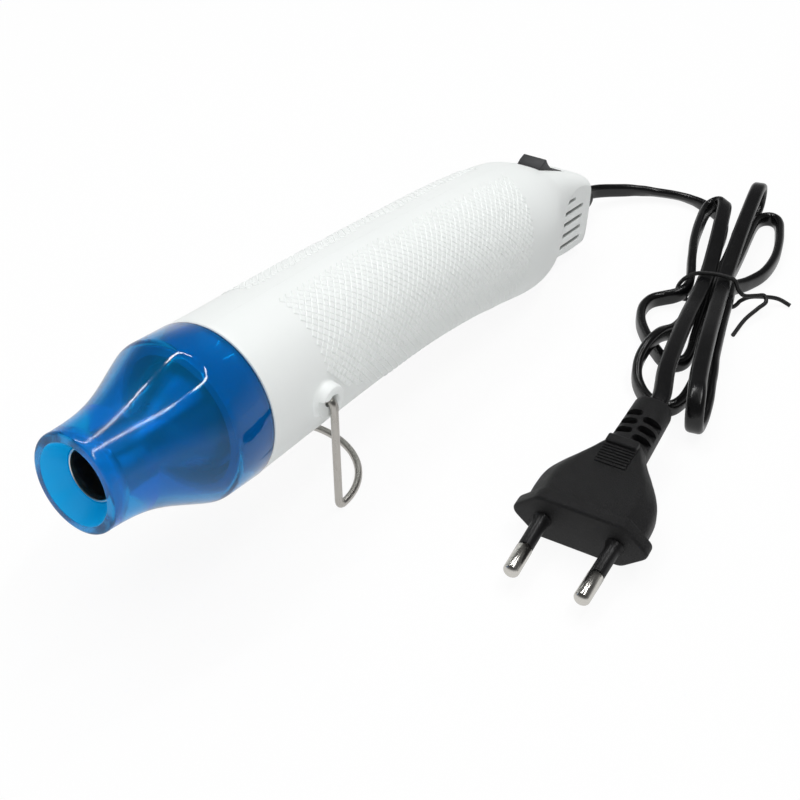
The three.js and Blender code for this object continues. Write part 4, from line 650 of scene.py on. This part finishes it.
# Fan and motor: a moulded fan on the shaft of a small drawn-can motor, in a plastic holder.
# Behind it are the motor's tags and a round board with four diodes.
fan_plastic = moulded("fan_plastic", (0.018, 0.019, 0.021), (0.03, 0.031, 0.033), (0.4, 0.5), 1400, 0.00003)
dress(fan_plastic, "fan_impeller")
shaft_steel = plated("shaft_steel", (0.5, 0.5, 0.51), (0.65, 0.65, 0.66), (0.18, 0.3), (200, 3000, 3000))
dress(shaft_steel, "motor_shaft")
motor_metal = plated("motor_metal", (0.42, 0.43, 0.44), (0.58, 0.59, 0.6), (0.25, 0.4), (2500, 150, 150))
dress(motor_metal, "motor_can")
black_plastic = moulded("black_plastic", (0.01, 0.01, 0.011), (0.02, 0.02, 0.021), (0.4, 0.55), 1600, 0.00003)
dress(black_plastic, "motor_end_cap", "switch_body", "diode_1", "diode_2", "diode_3", "diode_4")
brass = plated("terminal_brass", (0.5, 0.36, 0.13), (0.66, 0.5, 0.22), (0.25, 0.4), (900, 900, 900))
dress(brass, "motor_terminal_1", "motor_terminal_2", "switch_terminal_1", "switch_terminal_2")
holder_plastic = moulded("holder_plastic", (0.62, 0.63, 0.64), (0.7, 0.71, 0.72), (0.4, 0.5), 1500, 0.00002)
dress(holder_plastic, "motor_holder")
board_brown = moulded("board_brown", (0.2, 0.1, 0.035), (0.3, 0.16, 0.06), (0.45, 0.6), 2600, 0.00002)
dress(board_brown, "rectifier_board")

# Housing shells: two halves moulded in white ABS with a satin skin, split down the middle of the tool.
# The grip is covered with small raised squares.
# A flat panel with air slots is let into each side of the tail.
ROUND_POINTS = 88
TAIL_END = 214.5
TAIL_ROUND = 3.2
SHELL_WALL = 2.0
SEAM_GAP = 0.015
SPIGOT_FRONT = 30.4
SPIGOT_RADIUS = 18
SPIGOT_BORE = 16
COLLAR_END = 41.4
BORE_END = 43.4
TAIL_BORE = 9.8
TAIL_BORE_START = 189
BODY_STEPS = 40
ROUND_STEPS = 240
ROW_STEP = 1.3
TAIL_ROW_STEP = 0.5
TAIL_ROWS_START = 183
END_STEPS = 12
FLAT_STEPS = 8
# Place along the tool, half width, top, bottom and squareness of the outside.
body_sizes = [
    (41.4, 20.1, 20.1, -20.1, 2), (60, 19.9, 20.6, -19.0, 2), (90, 19.5, 21.4, -17.6, 2),
    (115, 19.4, 21.6, -17.0, 2), (140, 19.9, 21.5, -18.3, 2), (158, 20.7, 20.9, -20.6, 2),
    (171, 21.0, 20.0, -22.3, 2), (178, 19.9, 19.0, -21.9, 2.1), (184, 17.5, 17.3, -20.8, 2.3),
    (190, 14.8, 15.0, -18.9, 2.7), (195, 13.7, 13.4, -17.8, 3.5), (203, 13.5, 10.8, -17.3, 4.5),
    (211.5, 13.2, 8.1, -17.0, 5.0),
]


def body_line():
    """The table's rows run smooth from end to end, close together."""
    rows = [tuple(2 * a - b for a, b in zip(body_sizes[0], body_sizes[1])), *body_sizes]
    rows.append(tuple(2 * a - b for a, b in zip(body_sizes[-1], body_sizes[-2])))
    made = []
    for k in range(len(body_sizes) - 1):
        for i in range(BODY_STEPS):
            spans = zip(*rows[k:k + 4])
            made.append([eased(b, c, (c - a) / 2, (d - b) / 2, i / BODY_STEPS) for a, b, c, d in spans])
    return [*made, list(body_sizes[-1])]


body_fine = body_line()


def body_at(x):
    """Half width, top, bottom and squareness of the housing at x."""
    for before, after in zip(body_fine, body_fine[1:]):
        if x <= after[0]:
            w = max(0.0, (x - before[0]) / (after[0] - before[0]))
            return [a + (b - a) * w for a, b in zip(before, after)][1:]
    return body_fine[-1][1:]


def skin_at(x, z):
    """How far out the round part of the housing reaches at x and z."""
    half_width, top, bottom, _ = body_at(x)
    up = (z - (top + bottom) / 2) / ((top - bottom) / 2)
    return half_width * math.sqrt(1 - up * up)


def half_ring(half_width, top, bottom, square):
    """(y, z) points from the bottom round one side to the top, evenly spaced."""
    fine = []
    for k in range(ROUND_STEPS + 1):
        angle = math.radians(-90 + 180 * k / ROUND_STEPS)
        up = math.copysign(abs(math.sin(angle)) ** (2 / square), angle)
        out = max(0.0, math.cos(angle)) ** (2 / square)
        fine.append(Vector((half_width * out, (top + bottom) / 2 + (top - bottom) / 2 * up)))
    runs = [0.0]
    for a, b in zip(fine, fine[1:]):
        runs.append(runs[-1] + (b - a).length)
    ring = []
    k = 0
    for i in range(ROUND_POINTS + 1):
        goal = runs[-1] * i / ROUND_POINTS
        while k < ROUND_STEPS - 1 and runs[k + 1] < goal:
            k += 1
        w = (goal - runs[k]) / (runs[k + 1] - runs[k])
        ring.append(fine[k].lerp(fine[k + 1], w))
    return ring


def closing(ring, share):
    """A ring drawn in towards the seam, its points spread evenly up the seam at the end."""
    low, high = ring[0].y, ring[-1].y
    evenly = [low + (high - low) * i / (len(ring) - 1) for i in range(len(ring))]
    return [Vector((y * (1 - share), z * (1 - share) + even * share)) for (y, z), even in zip(ring, evenly)]


def shell_rows(side):
    """Rows round one half: its outside from bottom to top, then its inside back to the bottom."""
    rows = []

    def add(x, outer, inner_x, inner):
        reach = TAIL_BORE + max(0, TAIL_BORE_START - inner_x)
        row = [(x, side * max(SEAM_GAP, y), z) for y, z in outer]
        row += [(inner_x, side * max(SEAM_GAP, min(y, reach)), z) for y, z in reversed(inner)]
        rows.append(row)

    spigot = half_ring(SPIGOT_RADIUS, SPIGOT_RADIUS, -SPIGOT_RADIUS, 2)
    bore = half_ring(SPIGOT_BORE, SPIGOT_BORE, -SPIGOT_BORE, 2)
    add(SPIGOT_FRONT, spigot, SPIGOT_FRONT, spigot)
    add(SPIGOT_FRONT, spigot, SPIGOT_FRONT, bore)
    add(COLLAR_END, spigot, COLLAR_END, bore)
    add(COLLAR_END, half_ring(19.8, 19.8, -19.8, 2), COLLAR_END + 1, bore)
    add(COLLAR_END + 0.15, half_ring(20.03, 20.03, -20.03, 2), BORE_END, bore)
    x = COLLAR_END + 0.5
    while x < TAIL_END - TAIL_ROUND:
        half_width, top, bottom, square = body_at(x)
        inner = half_ring(half_width - SHELL_WALL, top - SHELL_WALL, bottom + SHELL_WALL, square)
        add(x, half_ring(half_width, top, bottom, square), max(x, BORE_END), inner)
        x += ROW_STEP if x < TAIL_ROWS_START else TAIL_ROW_STEP
    half_width, top, bottom, square = body_at(TAIL_END - TAIL_ROUND)
    inner = half_ring(half_width - SHELL_WALL, top - SHELL_WALL, bottom + SHELL_WALL, square)
    for k in range(END_STEPS + 1):
        angle = math.pi / 2 * k / END_STEPS
        drawn = TAIL_ROUND * (1 - math.cos(angle))
        outer = half_ring(half_width - drawn, top - drawn, bottom + drawn, square)
        inner_x = TAIL_END - TAIL_ROUND + (TAIL_ROUND - SHELL_WALL) * k / END_STEPS
        add(TAIL_END - TAIL_ROUND * (1 - math.sin(angle)), outer, inner_x, inner)
    for k in range(1, FLAT_STEPS + 1):
        flat = [closing(ring, k / FLAT_STEPS) for ring in (outer, inner)]
        add(TAIL_END, flat[0], TAIL_END - SHELL_WALL, flat[1])
    return rows


def side_place(x, run):
    """A place on the housing's side at x, some run above its widest line, its outward way and its angle."""
    half_width, top, bottom, _ = body_at(x)
    height = (top - bottom) / 2
    angle = 0.0
    arc = 0.02
    left = abs(run)
    while left > 0:
        length = math.hypot(half_width * math.sin(angle), height * math.cos(angle)) * arc
        angle += math.copysign(arc, run) * min(1.0, left / length)
        left -= length
    place = Vector((x, half_width * math.cos(angle), (top + bottom) / 2 + height * math.sin(angle)))
    return place, Vector((0, math.cos(angle) / half_width, math.sin(angle) / height)).normalized(), angle


GRIP_FRONT = 62
GRIP_REAR = 158
GRIP_EDGE = 77
SQUARE = 1.6
SQUARE_SLOPE = 0.28
SQUARE_RISE = 0.18
SQUARE_LIFT = 0.03
WELL_MARGIN = 5.2
SQUARE_COLUMNS = 96
SQUARE_ROWS = 26
# Place along the tool, height, and depth of the seat of each screw's head.
screw_places = ((98, 14.5, 9.28), (98, -10.5, 9.45), (160, 13, 10.65), (160, -14, 9.54))


def in_grip(place, angle, side):
    """Whether a raised square stands here: the grip's outline, less the screw wells of the right half."""
    up = math.degrees(angle)
    # The front edge sweeps back as it runs down the side, and the rear edge leans a little.
    front = GRIP_FRONT + max(0.0, 12 - up) ** 1.35 / 6.4
    rear = GRIP_REAR + up * 0.125
    if not front < place.x < rear or abs(up) > GRIP_EDGE:
        return False
    return side < 0 or all(math.hypot(place.x - x, place.z - z) > WELL_MARGIN for x, z, _ in screw_places)


def grip_squares(side):
    """Raised squares on one side of the grip, standing on their corners."""
    reach = SQUARE / math.sqrt(2)
    start = GRIP_FRONT - 2
    spots = {}
    points = []
    faces = []

    def corner(i, j):
        if (i, j) not in spots:
            place, out, _ = side_place(start + i * reach, j * reach)
            place += out * SQUARE_LIFT
            spots[i, j] = len(points)
            points.append((place.x, side * place.y, place.z))
        return spots[i, j]

    for i in range(SQUARE_COLUMNS):
        for j in range(-SQUARE_ROWS, SQUARE_ROWS + 1):
            if (i + j) % 2:
                place, _, angle = side_place(start + i * reach, j * reach)
                if in_grip(place, angle, side):
                    faces.append((corner(i - 1, j), corner(i, j - 1), corner(i + 1, j), corner(i, j + 1)))
    mesh = bpy.data.meshes.new("grip_squares")
    mesh.from_pydata(points, [], faces)
    squares = bpy.data.objects.new("grip_squares", mesh)
    bpy.context.collection.objects.link(squares)
    if side > 0:
        mesh.flip_normals()
    take(squares)
    bpy.ops.object.mode_set(mode="EDIT")
    bpy.ops.mesh.select_all(action="SELECT")
    bpy.ops.mesh.inset(thickness=SQUARE_SLOPE, depth=SQUARE_RISE, use_individual=True)
    bpy.ops.object.mode_set(mode="OBJECT")
    return squares


def across(piece, x, z, side):
    """Turns a body made along X to stand across the tool at x and z, pointing out of one side."""
    piece.data.transform(Matrix.Translation((x, 0, z)) @ Matrix.Rotation(math.radians(90 * side), 4, "Z"))
    return piece


def pivot_boss(side):
    """The eyelet that the stand's wire turns in: a thick rim, open below and in front for the wire."""
    skin = 19.5
    rim = [
        (1.7, 12), (1.7, 21.7), (1.8, 22.25), (2.15, 22.7), (2.7, 22.9), (3.4, 22.86), (4.0, 22.55),
        (4.35, 22.0),
    ]
    fillet = [(4.45, 1.2), (4.47, 0.6), (4.56, 0.28), (4.76, 0.08), (5.0, -0.02), (5.3, -0.1)]
    ring = turned("boss", [*rim, *((r, skin + h) for r, h in fillet), (5.3, 17), (3, 12)], 64)
    # The fillet at the foot of the rim follows the skin of the housing.
    for vertex in ring.data.vertices:
        r = math.hypot(vertex.co.y, vertex.co.z)
        if r > 4.46 and vertex.co.x > 17.5:
            vertex.co.x += skin_at(PIVOT_X - side * vertex.co.y, vertex.co.z) - skin
    # The leg of the stand swings through the quarter that is cut away.
    quarter = block((21.2, 8 * side, -8), (26, -1.6 * side, 1.6))
    combine(ring, finish_edges(quarter, 0.35, 3, 30), "DIFFERENCE")
    return across(ring, PIVOT_X, 0, side)


def rod(radius, low, high):
    return turned("rod", [(0, low), (radius, low), (radius, high), (0, high)], 32)


SLOT_HALF = 0.68
SLOT_PITCH = 3.75
slot_runs = [(194.9, 202.4)] + [(193.4, 208.5)] * 4


def slot_bar(x0, x1, z, side):
    """A cutter with round ends for one air slot."""
    bar = block((x0, 6, z - SLOT_HALF), (x1, 20, z + SLOT_HALF))
    bar.data.transform(Matrix.Scale(side, 4, (0, 1, 0)))
    if side < 0:
        bar.data.flip_normals()
    take(bar)
    bpy.ops.object.modifier_add(type="BEVEL")
    bevel = bar.modifiers[-1]
    bevel.limit_method = "WEIGHT"
    weights = bar.data.attributes.new("bevel_weight_edge", "FLOAT", "EDGE")
    for edge in bar.data.edges:
        a, b = (bar.data.vertices[v].co for v in edge.vertices)
        weights.data[edge.index].value = 1.0 if abs(a.y - b.y) > 5 else 0.0
    bevel.width = SLOT_HALF - 0.02
    bevel.segments = 5
    bpy.ops.object.modifier_apply(modifier=bevel.name)
    return bar


def panel_plate(side):
    """A cutter for the flat panel of the tail, arched at its front."""
    outline = [(191.5, -15.3), (218, -15.3), (218, 6.4)]
    arch = [math.pi / 2 * k / 16 for k in range(17)]
    outline += [(202 - 10.5 * math.sin(a), 9 * math.cos(a) - 1.6) for a in arch]
    plate = skinned("panel", [[(x, y * side, z) for x, z in outline] for y in (12.3, 24)])
    return finish_edges(plate, 0.5, 4, 60)


ROCKER_PLACE = Matrix.Translation((198.6, 0, 12.1)) @ Matrix.Rotation(math.radians(17.6), 4, "Y")
GLAND_PLACE = Matrix.Translation((0, 0, -9.5))
OPENING_HALF_LENGTH = 9.85
OPENING_HALF_WIDTH = 4.45
PIVOT_BORE = 3.2
GLAND_BORE = 3.8
WELL_BORE = 2.6
WELL_RADIUS = 3.2
TABLE_CLEAR = 0.00002
shell_white, shader, spot = new_finish("shell_white", {"Specular IOR Level": 0.45})
cloudy = spot.noise(26, 3)
satin = spot.noise(2600, 2)
white = cloudy.colour((0.85, 0.878, 0.866), (0.88, 0.905, 0.895))
# Painted shade: points marked in the tail's hollow take a near-black colour in place of the white.
painted_shade = spot.node("ShaderNodeAttribute", {"attribute_name": "inside"}, {}, "Fac")
painted_shade.colour(white, (0.05, 0.055, 0.045)).into(shader, "Base Color")
(0.36 + 0.1 * cloudy + (satin - 0.5) * 0.08).into(shader, "Roughness")
satin.relief(0.000012).into(shader, "Normal")

for side, name in ((-1, "left"), (1, "right")):
    shell = skinned(f"{name}_half", shell_rows(side))
    combine(shell, panel_plate(side), "DIFFERENCE")
    cutters = [slot_bar(*run, SLOT_PITCH * (1 - k), side) for k, run in enumerate(slot_runs)]
    opening = block(
        (-OPENING_HALF_LENGTH, -OPENING_HALF_WIDTH, -5), (OPENING_HALF_LENGTH, OPENING_HALF_WIDTH, 16),
    )
    opening.data.transform(ROCKER_PLACE)
    gland_hole = rod(GLAND_BORE, 206, 220)
    gland_hole.data.transform(GLAND_PLACE)
    cutters += [opening, gland_hole, across(rod(PIVOT_BORE, 10, 40), PIVOT_X, 0, side)]
    # One window lies in the lower part of each half's spigot.
    window = block((33.4, -4.5, 12), (38.4, 4.5, 24))
    window.data.transform(Matrix.Rotation(math.radians(-side * 135), 4, "X"))
    cutters.append(window)
    if side > 0:
        cutters += [across(rod(WELL_BORE, 4, 40), x, z, side) for x, z, _ in screw_places]
    combine(shell, joined(*cutters), "DIFFERENCE")
    extras = [pivot_boss(side), grip_squares(side)]
    if side > 0:
        for x, z, depth in screw_places:
            low, high = depth - 1.5, depth + 4.4
            well = turned("well", [
                (WELL_BORE, low), (WELL_BORE, high), (WELL_RADIUS, high), (WELL_RADIUS, low),
            ], 32)
            for vertex in across(well, x, z, side).data.vertices:
                vertex.co.y = min(vertex.co.y, skin_at(vertex.co.x, vertex.co.z) - 0.1)
            extras.append(well)
    joined(shell, *extras)
    # Painted shade: the hollow of the tail is coloured near black, standing in for the dark that shows
    # through the air slots.
    inside = shell.data.attributes.new("inside", "FLOAT", "POINT")
    for vertex in shell.data.vertices:
        x, y, z = vertex.co
        in_painted_shade = 190 < x < 211 and abs(y) < 11.5 and -15 < z < 6
        inside.data[vertex.index].value = 1.0 if in_painted_shade else 0.0
    seat(smoothed(shell, 30), TOOL_PLACE)
    for vertex in shell.data.vertices:
        vertex.co.z = max(vertex.co.z, TABLE_CLEAR)
    wear(shell, shell_white, "tool", "shell_white", f"{name}_shell")

# Screws: four zinc-plated self-tappers that close the halves from the right.
# Each head lies at the bottom of its well and has a cross recess.
screw_steel = plated("screw_steel", (0.45, 0.46, 0.47), (0.62, 0.63, 0.64), (0.25, 0.4), (900, 900, 900))
for number, (x, z, depth) in enumerate(screw_places, 1):
    low = depth + 0.3
    screw = turned(f"closing_screw_{number}", [
        (0, -9), (0.5, -8.6), (1.2, -7), (1.2, low), (2.1, low), (2.3, low + 0.3), (2.2, low + 0.9),
        (1.7, low + 1.4), (1.0, low + 1.58), (0, low + 1.6),
    ], 32)
    cross = joined(
        block((low + 0.7, -1.3, -0.28), (low + 3, 1.3, 0.28)),
        block((low + 0.69, -0.27, -1.29), (low + 3.01, 0.27, 1.29)),
    )
    combine(screw, cross, "DIFFERENCE")
    seat(smoothed(across(screw, x, z, 1), 35), TOOL_PLACE)
    wear(screw, screw_steel, "tool", "screw_steel", f"screw_{number}")

# Nozzle shield: clear blue polycarbonate, moulded in one and polished inside the mould.
# A funnel mouth with a rounded lip, a flared neck and a collar pushed over the shells' spigot.


def bezier(a, b, c, d, count):
    """Points from a to d on a cubic curve that b and c pull."""
    made = []
    for i in range(count + 1):
        w = i / count
        made.append(tuple(
            p * (1 - w) ** 3 + 3 * q * w * (1 - w) ** 2 + 3 * r * w ** 2 * (1 - w) + s * w ** 3
            for p, q, r, s in zip(a, b, c, d)
        ))
    return made


flare = bezier((12, 0.5), (12, 15), (15.5, 19), (20.25, 30), 48)
neck = [(r, x) for r, x in flare if 3.0 < x < 29.0]
shoulder = bezier(neck[-1], (20.05, 29.6), (20.25, 30.0), (20.25, 31.0), 8)[1:]
inside = [(min(r - 1.65, 18.3), x + 0.8) for r, x in flare if x > 12]
nozzle_shield = turned("clear_shield", [
    (9.72, 0.12), (9.95, 0.0), (11.2, 0.0), (11.55, 0.08), (11.82, 0.28), (11.97, 0.6), (12.0, 1.1),
    (11.97, 2.0),
    *neck, *shoulder, (20.25, 40.6), (20.13, 40.97), (19.85, 41.1),
    (18.5, 41.1), (18.3, 40.9), *reversed(inside),
    (10.2, 11.6), (8.6, 9.2), (7.2, 7.4), (6.9, 6.9), (6.9, 4.7),
], 128)
# The funnel's points are marked for a rougher finish and a painted glow.
frosted = nozzle_shield.data.attributes.new("frosted", "FLOAT", "POINT")
for vertex in nozzle_shield.data.vertices:
    in_funnel = vertex.co.x < 5.5 and math.hypot(vertex.co.y, vertex.co.z) < 9.8
    frosted.data[vertex.index].value = 1.0 if in_funnel else 0.0
seat(smoothed(nozzle_shield, 25), TOOL_PLACE)
shield_blue, shader, spot = new_finish("shield_blue", {"IOR": 1.46, "Transmission Weight": 0.86})
tint = spot.noise(45, 3)
neck_share = spot.axis("X").share(-0.09, -0.103)
collar_blue = tint.colour((0.0, 0.3, 0.7), (0.0, 0.38, 0.82))
neck_share.colour(collar_blue, (0.0, 0.42, 0.92)).into(shader, "Base Color")
(0.03 + 0.1 * neck_share + 0.04 * tint).into(shader, "Roughness")
# The funnel's finish is rougher and reflects less. Its faint blue emission is a painted glow, standing in for
# light carried through the plastic.
funnel = spot.node("ShaderNodeBsdfPrincipled", {}, {
    "Base Color": tint.colour((0.0, 0.38, 0.78), (0.0, 0.44, 0.86)),
    "Roughness": 0.35,
    "Specular IOR Level": 0.2,
    "Transmission Weight": 0.15,
    "Emission Color": (0.0, 0.03, 0.08, 1),
    "Emission Strength": 1.0,
})
mask = spot.node("ShaderNodeAttribute", {"attribute_name": "frosted"}, {}, "Fac")
mixed = spot.node("ShaderNodeMixShader", {}, {0: mask, 1: Tap(spot.tree, shader.outputs[0]), 2: funnel})
spot.tree.links.new(mixed.socket, spot.tree.nodes["Material Output"].inputs["Surface"])
wear(nozzle_shield, shield_blue, "tool", "shield_blue", "nozzle_shield")

# Rocker: dark grey moulded nylon with a ridge at each end and a hollow between them.
# It turns on a pin in the switch body and rests with its front end up.
ROCKER_REACH = 9.5
ROCKER_HALF_WIDTH = 4.1
ROCKER_TIP = math.radians(13)
end_angles = [math.radians(a) for a in (0, 9, 18, 26.2)]
end_arc = [(ROCKER_REACH * math.cos(a), ROCKER_REACH * math.sin(a)) for a in end_angles]
hollow = [(u, 4.8 + 1.4 * abs(u / 7) ** 2.4) for u in (7, 6.2, 5.4, 4.6, 3.6, 2.4, 1.2)]
rocker_side = [(-u, h) for u, h in reversed(end_arc)]
rocker_side += [(0, -1.4), *end_arc, *hollow, (0, 4.8)]
rocker_side += [(-u, h) for u, h in reversed(hollow)]
rocker = skinned("switch_rocker", [
    [(u, y, h) for u, h in rocker_side] for y in (-ROCKER_HALF_WIDTH, ROCKER_HALF_WIDTH)
])
finish_edges(rocker, 0.3, 3, 35)
pin = rod(1.0, -6.4, 6.4)
pin.data.transform(Matrix.Rotation(math.radians(90), 4, "Z"))
combine(rocker, pin, "UNION")
tipped = Matrix.Translation((0, 0, -4.2)) @ Matrix.Rotation(ROCKER_TIP, 4, "Y")
rocker.data.transform(ROCKER_PLACE @ tipped)
seat(smoothed(rocker, 32), TOOL_PLACE)
rocker_grey = moulded(
    "rocker_grey", (0.026, 0.027, 0.029), (0.042, 0.043, 0.045), (0.42, 0.55), 2600, 0.00006,
)
wear(rocker, rocker_grey, "rocker", "rocker_grey", "rocker")

# Cord gland: a soft black sleeve moulded round the lead, with four ribs that let it bend.
# A groove near its wide end snaps into the hole in the tail.
GLAND_FRONT = 210.2
GLAND_END = 236.3
RIB_PITCH = 5
RIB_COUNT = 4
first_rib = TAIL_END + 0.3
gland_side = [(0, GLAND_FRONT), (4.3, GLAND_FRONT), (4.4, GLAND_FRONT + 0.1), (4.4, 212.2)]
gland_side += [(3.5, 212.2), (3.5, first_rib)]
for k in range(RIB_COUNT):
    r = 5.6 - 0.5 * k
    x = GLAND_END - RIB_PITCH * (RIB_COUNT - k)
    front = x if k else first_rib
    gland_side += [(r - 0.3, front), (r, front + 0.35), (r - 0.12, x + 3.1), (r - 0.35, x + 3.5)]
    if k < RIB_COUNT - 1:
        gland_side += [(r - 0.75, x + 3.7), (r - 0.75, x + 4.7)]
    else:
        gland_side += [(3.6, x + 3.7), (3.55, x + 4.6), (3.2, x + 5)]
cord_gland = turned("lead_gland", [*gland_side, (0, GLAND_END)], 48)
cord_gland.data.transform(GLAND_PLACE)
seat(smoothed(cord_gland, 35), TOOL_PLACE)
gland_black = moulded(
    "gland_black", (0.003, 0.003, 0.0035), (0.008, 0.008, 0.0085), (0.4, 0.55), 1300, 0.00004,
)
wear(cord_gland, gland_black, "tool", "gland_black", "cord_gland")

# Wire stand: one bent spring-steel wire, sprung into the two eyelets of the housing.
# Two straight legs and a half-round foot that lies on the table.
LEG_Y = 22.5
LEG_END = 18.9
FOOT_Z = 1.005
BEND = 2.2
WIRE_RADIUS = 1.0
stand_line = []


def bent(before, at, after):
    """Adds a rounded bend to the stand's line."""
    first = at + (before - at).normalized() * BEND
    last = at + (after - at).normalized() * BEND
    stand_line.extend(
        first * (1 - w) ** 2 + at * 2 * w * (1 - w) + last * w ** 2 for w in (k / 8 for k in range(9))
    )


for way in (-1, 1):
    end = Vector((0, way * LEG_END, PIVOT_SPOT.z))
    knee = Vector((0, way * LEG_Y, PIVOT_SPOT.z))
    heel = Vector((0, way * LEG_Y, FOOT_Z))
    if way < 0:
        stand_line.append(end)
        bent(end, knee, heel)
        bent(knee, heel, heel + Vector((5, 0, 0)))
        for k in range(1, 48):
            angle = math.pi * (k / 48 - 0.5)
            out = BEND + (LEG_Y - BEND) * math.cos(angle)
            stand_line.append(Vector((out, LEG_Y * math.sin(angle), FOOT_Z)))
    else:
        bent(heel + Vector((5, 0, 0)), heel, knee)
        bent(heel, knee, end)
        stand_line.append(end)
stand_spot = Vector((PIVOT_SPOT.x, 0, 0))
wire_stand = wire("folding_stand", [place + stand_spot for place in stand_line], WIRE_RADIUS)
seat(wire_stand, Matrix.Identity(4))
stand_wire = plated("stand_wire", (0.46, 0.44, 0.41), (0.64, 0.62, 0.58), (0.22, 0.36), (2500, 2500, 300))
wear(wire_stand, stand_wire, "stand", "stand_wire", "wire_stand")

# Table and light: white card under two narrow strip lamps, a wide ceiling lamp and a soft fill in front.
# The room is dim overhead and paler all round.
# The card looks white to the eye and in the polished pieces, and still takes the tool's shadow.
take()
bpy.ops.mesh.primitive_plane_add(size=6)
table = bpy.context.object
table.name = "table"
material = bpy.data.materials.new("table_white")
material.use_nodes = True
tree = material.node_tree
shader = tree.nodes["Principled BSDF"]
shader.inputs["Base Color"].default_value = (0.9, 0.9, 0.9, 1)
shader.inputs["Roughness"].default_value = 0.9
rays = tree.nodes.new("ShaderNodeLightPath").outputs
polished = Tap(tree, rays["Is Glossy Ray"])
seen = Tap(tree, rays["Is Camera Ray"]).sum("MAXIMUM", Tap(tree, rays["Is Transmission Ray"]))
seen = seen.sum("MAXIMUM", polished)
glow = seen.node("ShaderNodeEmission", {}, {"Color": (1, 1, 1, 1), "Strength": 1.0 - 0.25 * polished})
mixed = seen.node("ShaderNodeMixShader", {}, {0: seen * 0.92, 1: Tap(tree, shader.outputs[0]), 2: glow})
tree.links.new(mixed.socket, tree.nodes["Material Output"].inputs["Surface"])
table.data.materials.append(material)

world = bpy.data.worlds.new("studio")
bpy.context.scene.world = world
world.use_nodes = True
tree = world.node_tree
level = Tap(tree, tree.nodes.new("ShaderNodeTexCoord").outputs["Generated"]).axis("Z")
room = level.node("ShaderNodeValToRGB", {"stops": [
    (0.0, (0.6, 0.6, 0.6)), (0.1, (0.4, 0.4, 0.4)), (0.35, (0.1, 0.1, 0.1)), (0.9, (0.05, 0.05, 0.05)),
]}, {"Fac": level})
seen = Tap(tree, tree.nodes.new("ShaderNodeLightPath").outputs["Is Camera Ray"])
seen.colour(room, (1, 1, 1)).into(tree.nodes["Background"], "Color")
tree.nodes["Background"].inputs["Strength"].default_value = 1.0
bpy.context.scene.view_settings.view_transform = "Standard"


def lamp(name, start, end, width, power):
    """A lamp of some width between two places, facing the tool."""
    start, end = Vector(start), Vector(end)
    middle = (start + end) / 2
    bpy.ops.object.light_add(type="AREA")
    made = bpy.context.object
    made.name = name
    made.data.shape = "RECTANGLE"
    made.data.size = (end - start).length
    made.data.size_y = width
    made.data.energy = power
    away = (middle - Vector((0, 0, 0.03))).normalized()
    upright = away.cross(end - start).normalized()
    turn = Matrix((upright.cross(away), upright, away)).transposed()
    made.matrix_world = Matrix.Translation(middle) @ turn.to_4x4()
    return made


lamp("strip_right", (-0.05, 0.42, 0.93), (0.55, 0.2, 0.93), 0.04, 2.0)
lamp("strip_left", (-0.2, -0.42, 0.93), (0.6, -0.16, 0.93), 0.04, 2.5)
lamp("ceiling", (-1.0, 0.2, 1.3), (1.0, 0.2, 1.3), 2.0, 16.3).visible_glossy = False
lamp("front_fill", (-1.3, -0.7, 0.6), (-0.5, -1.3, 0.6), 0.8, 4.0).visible_glossy = False
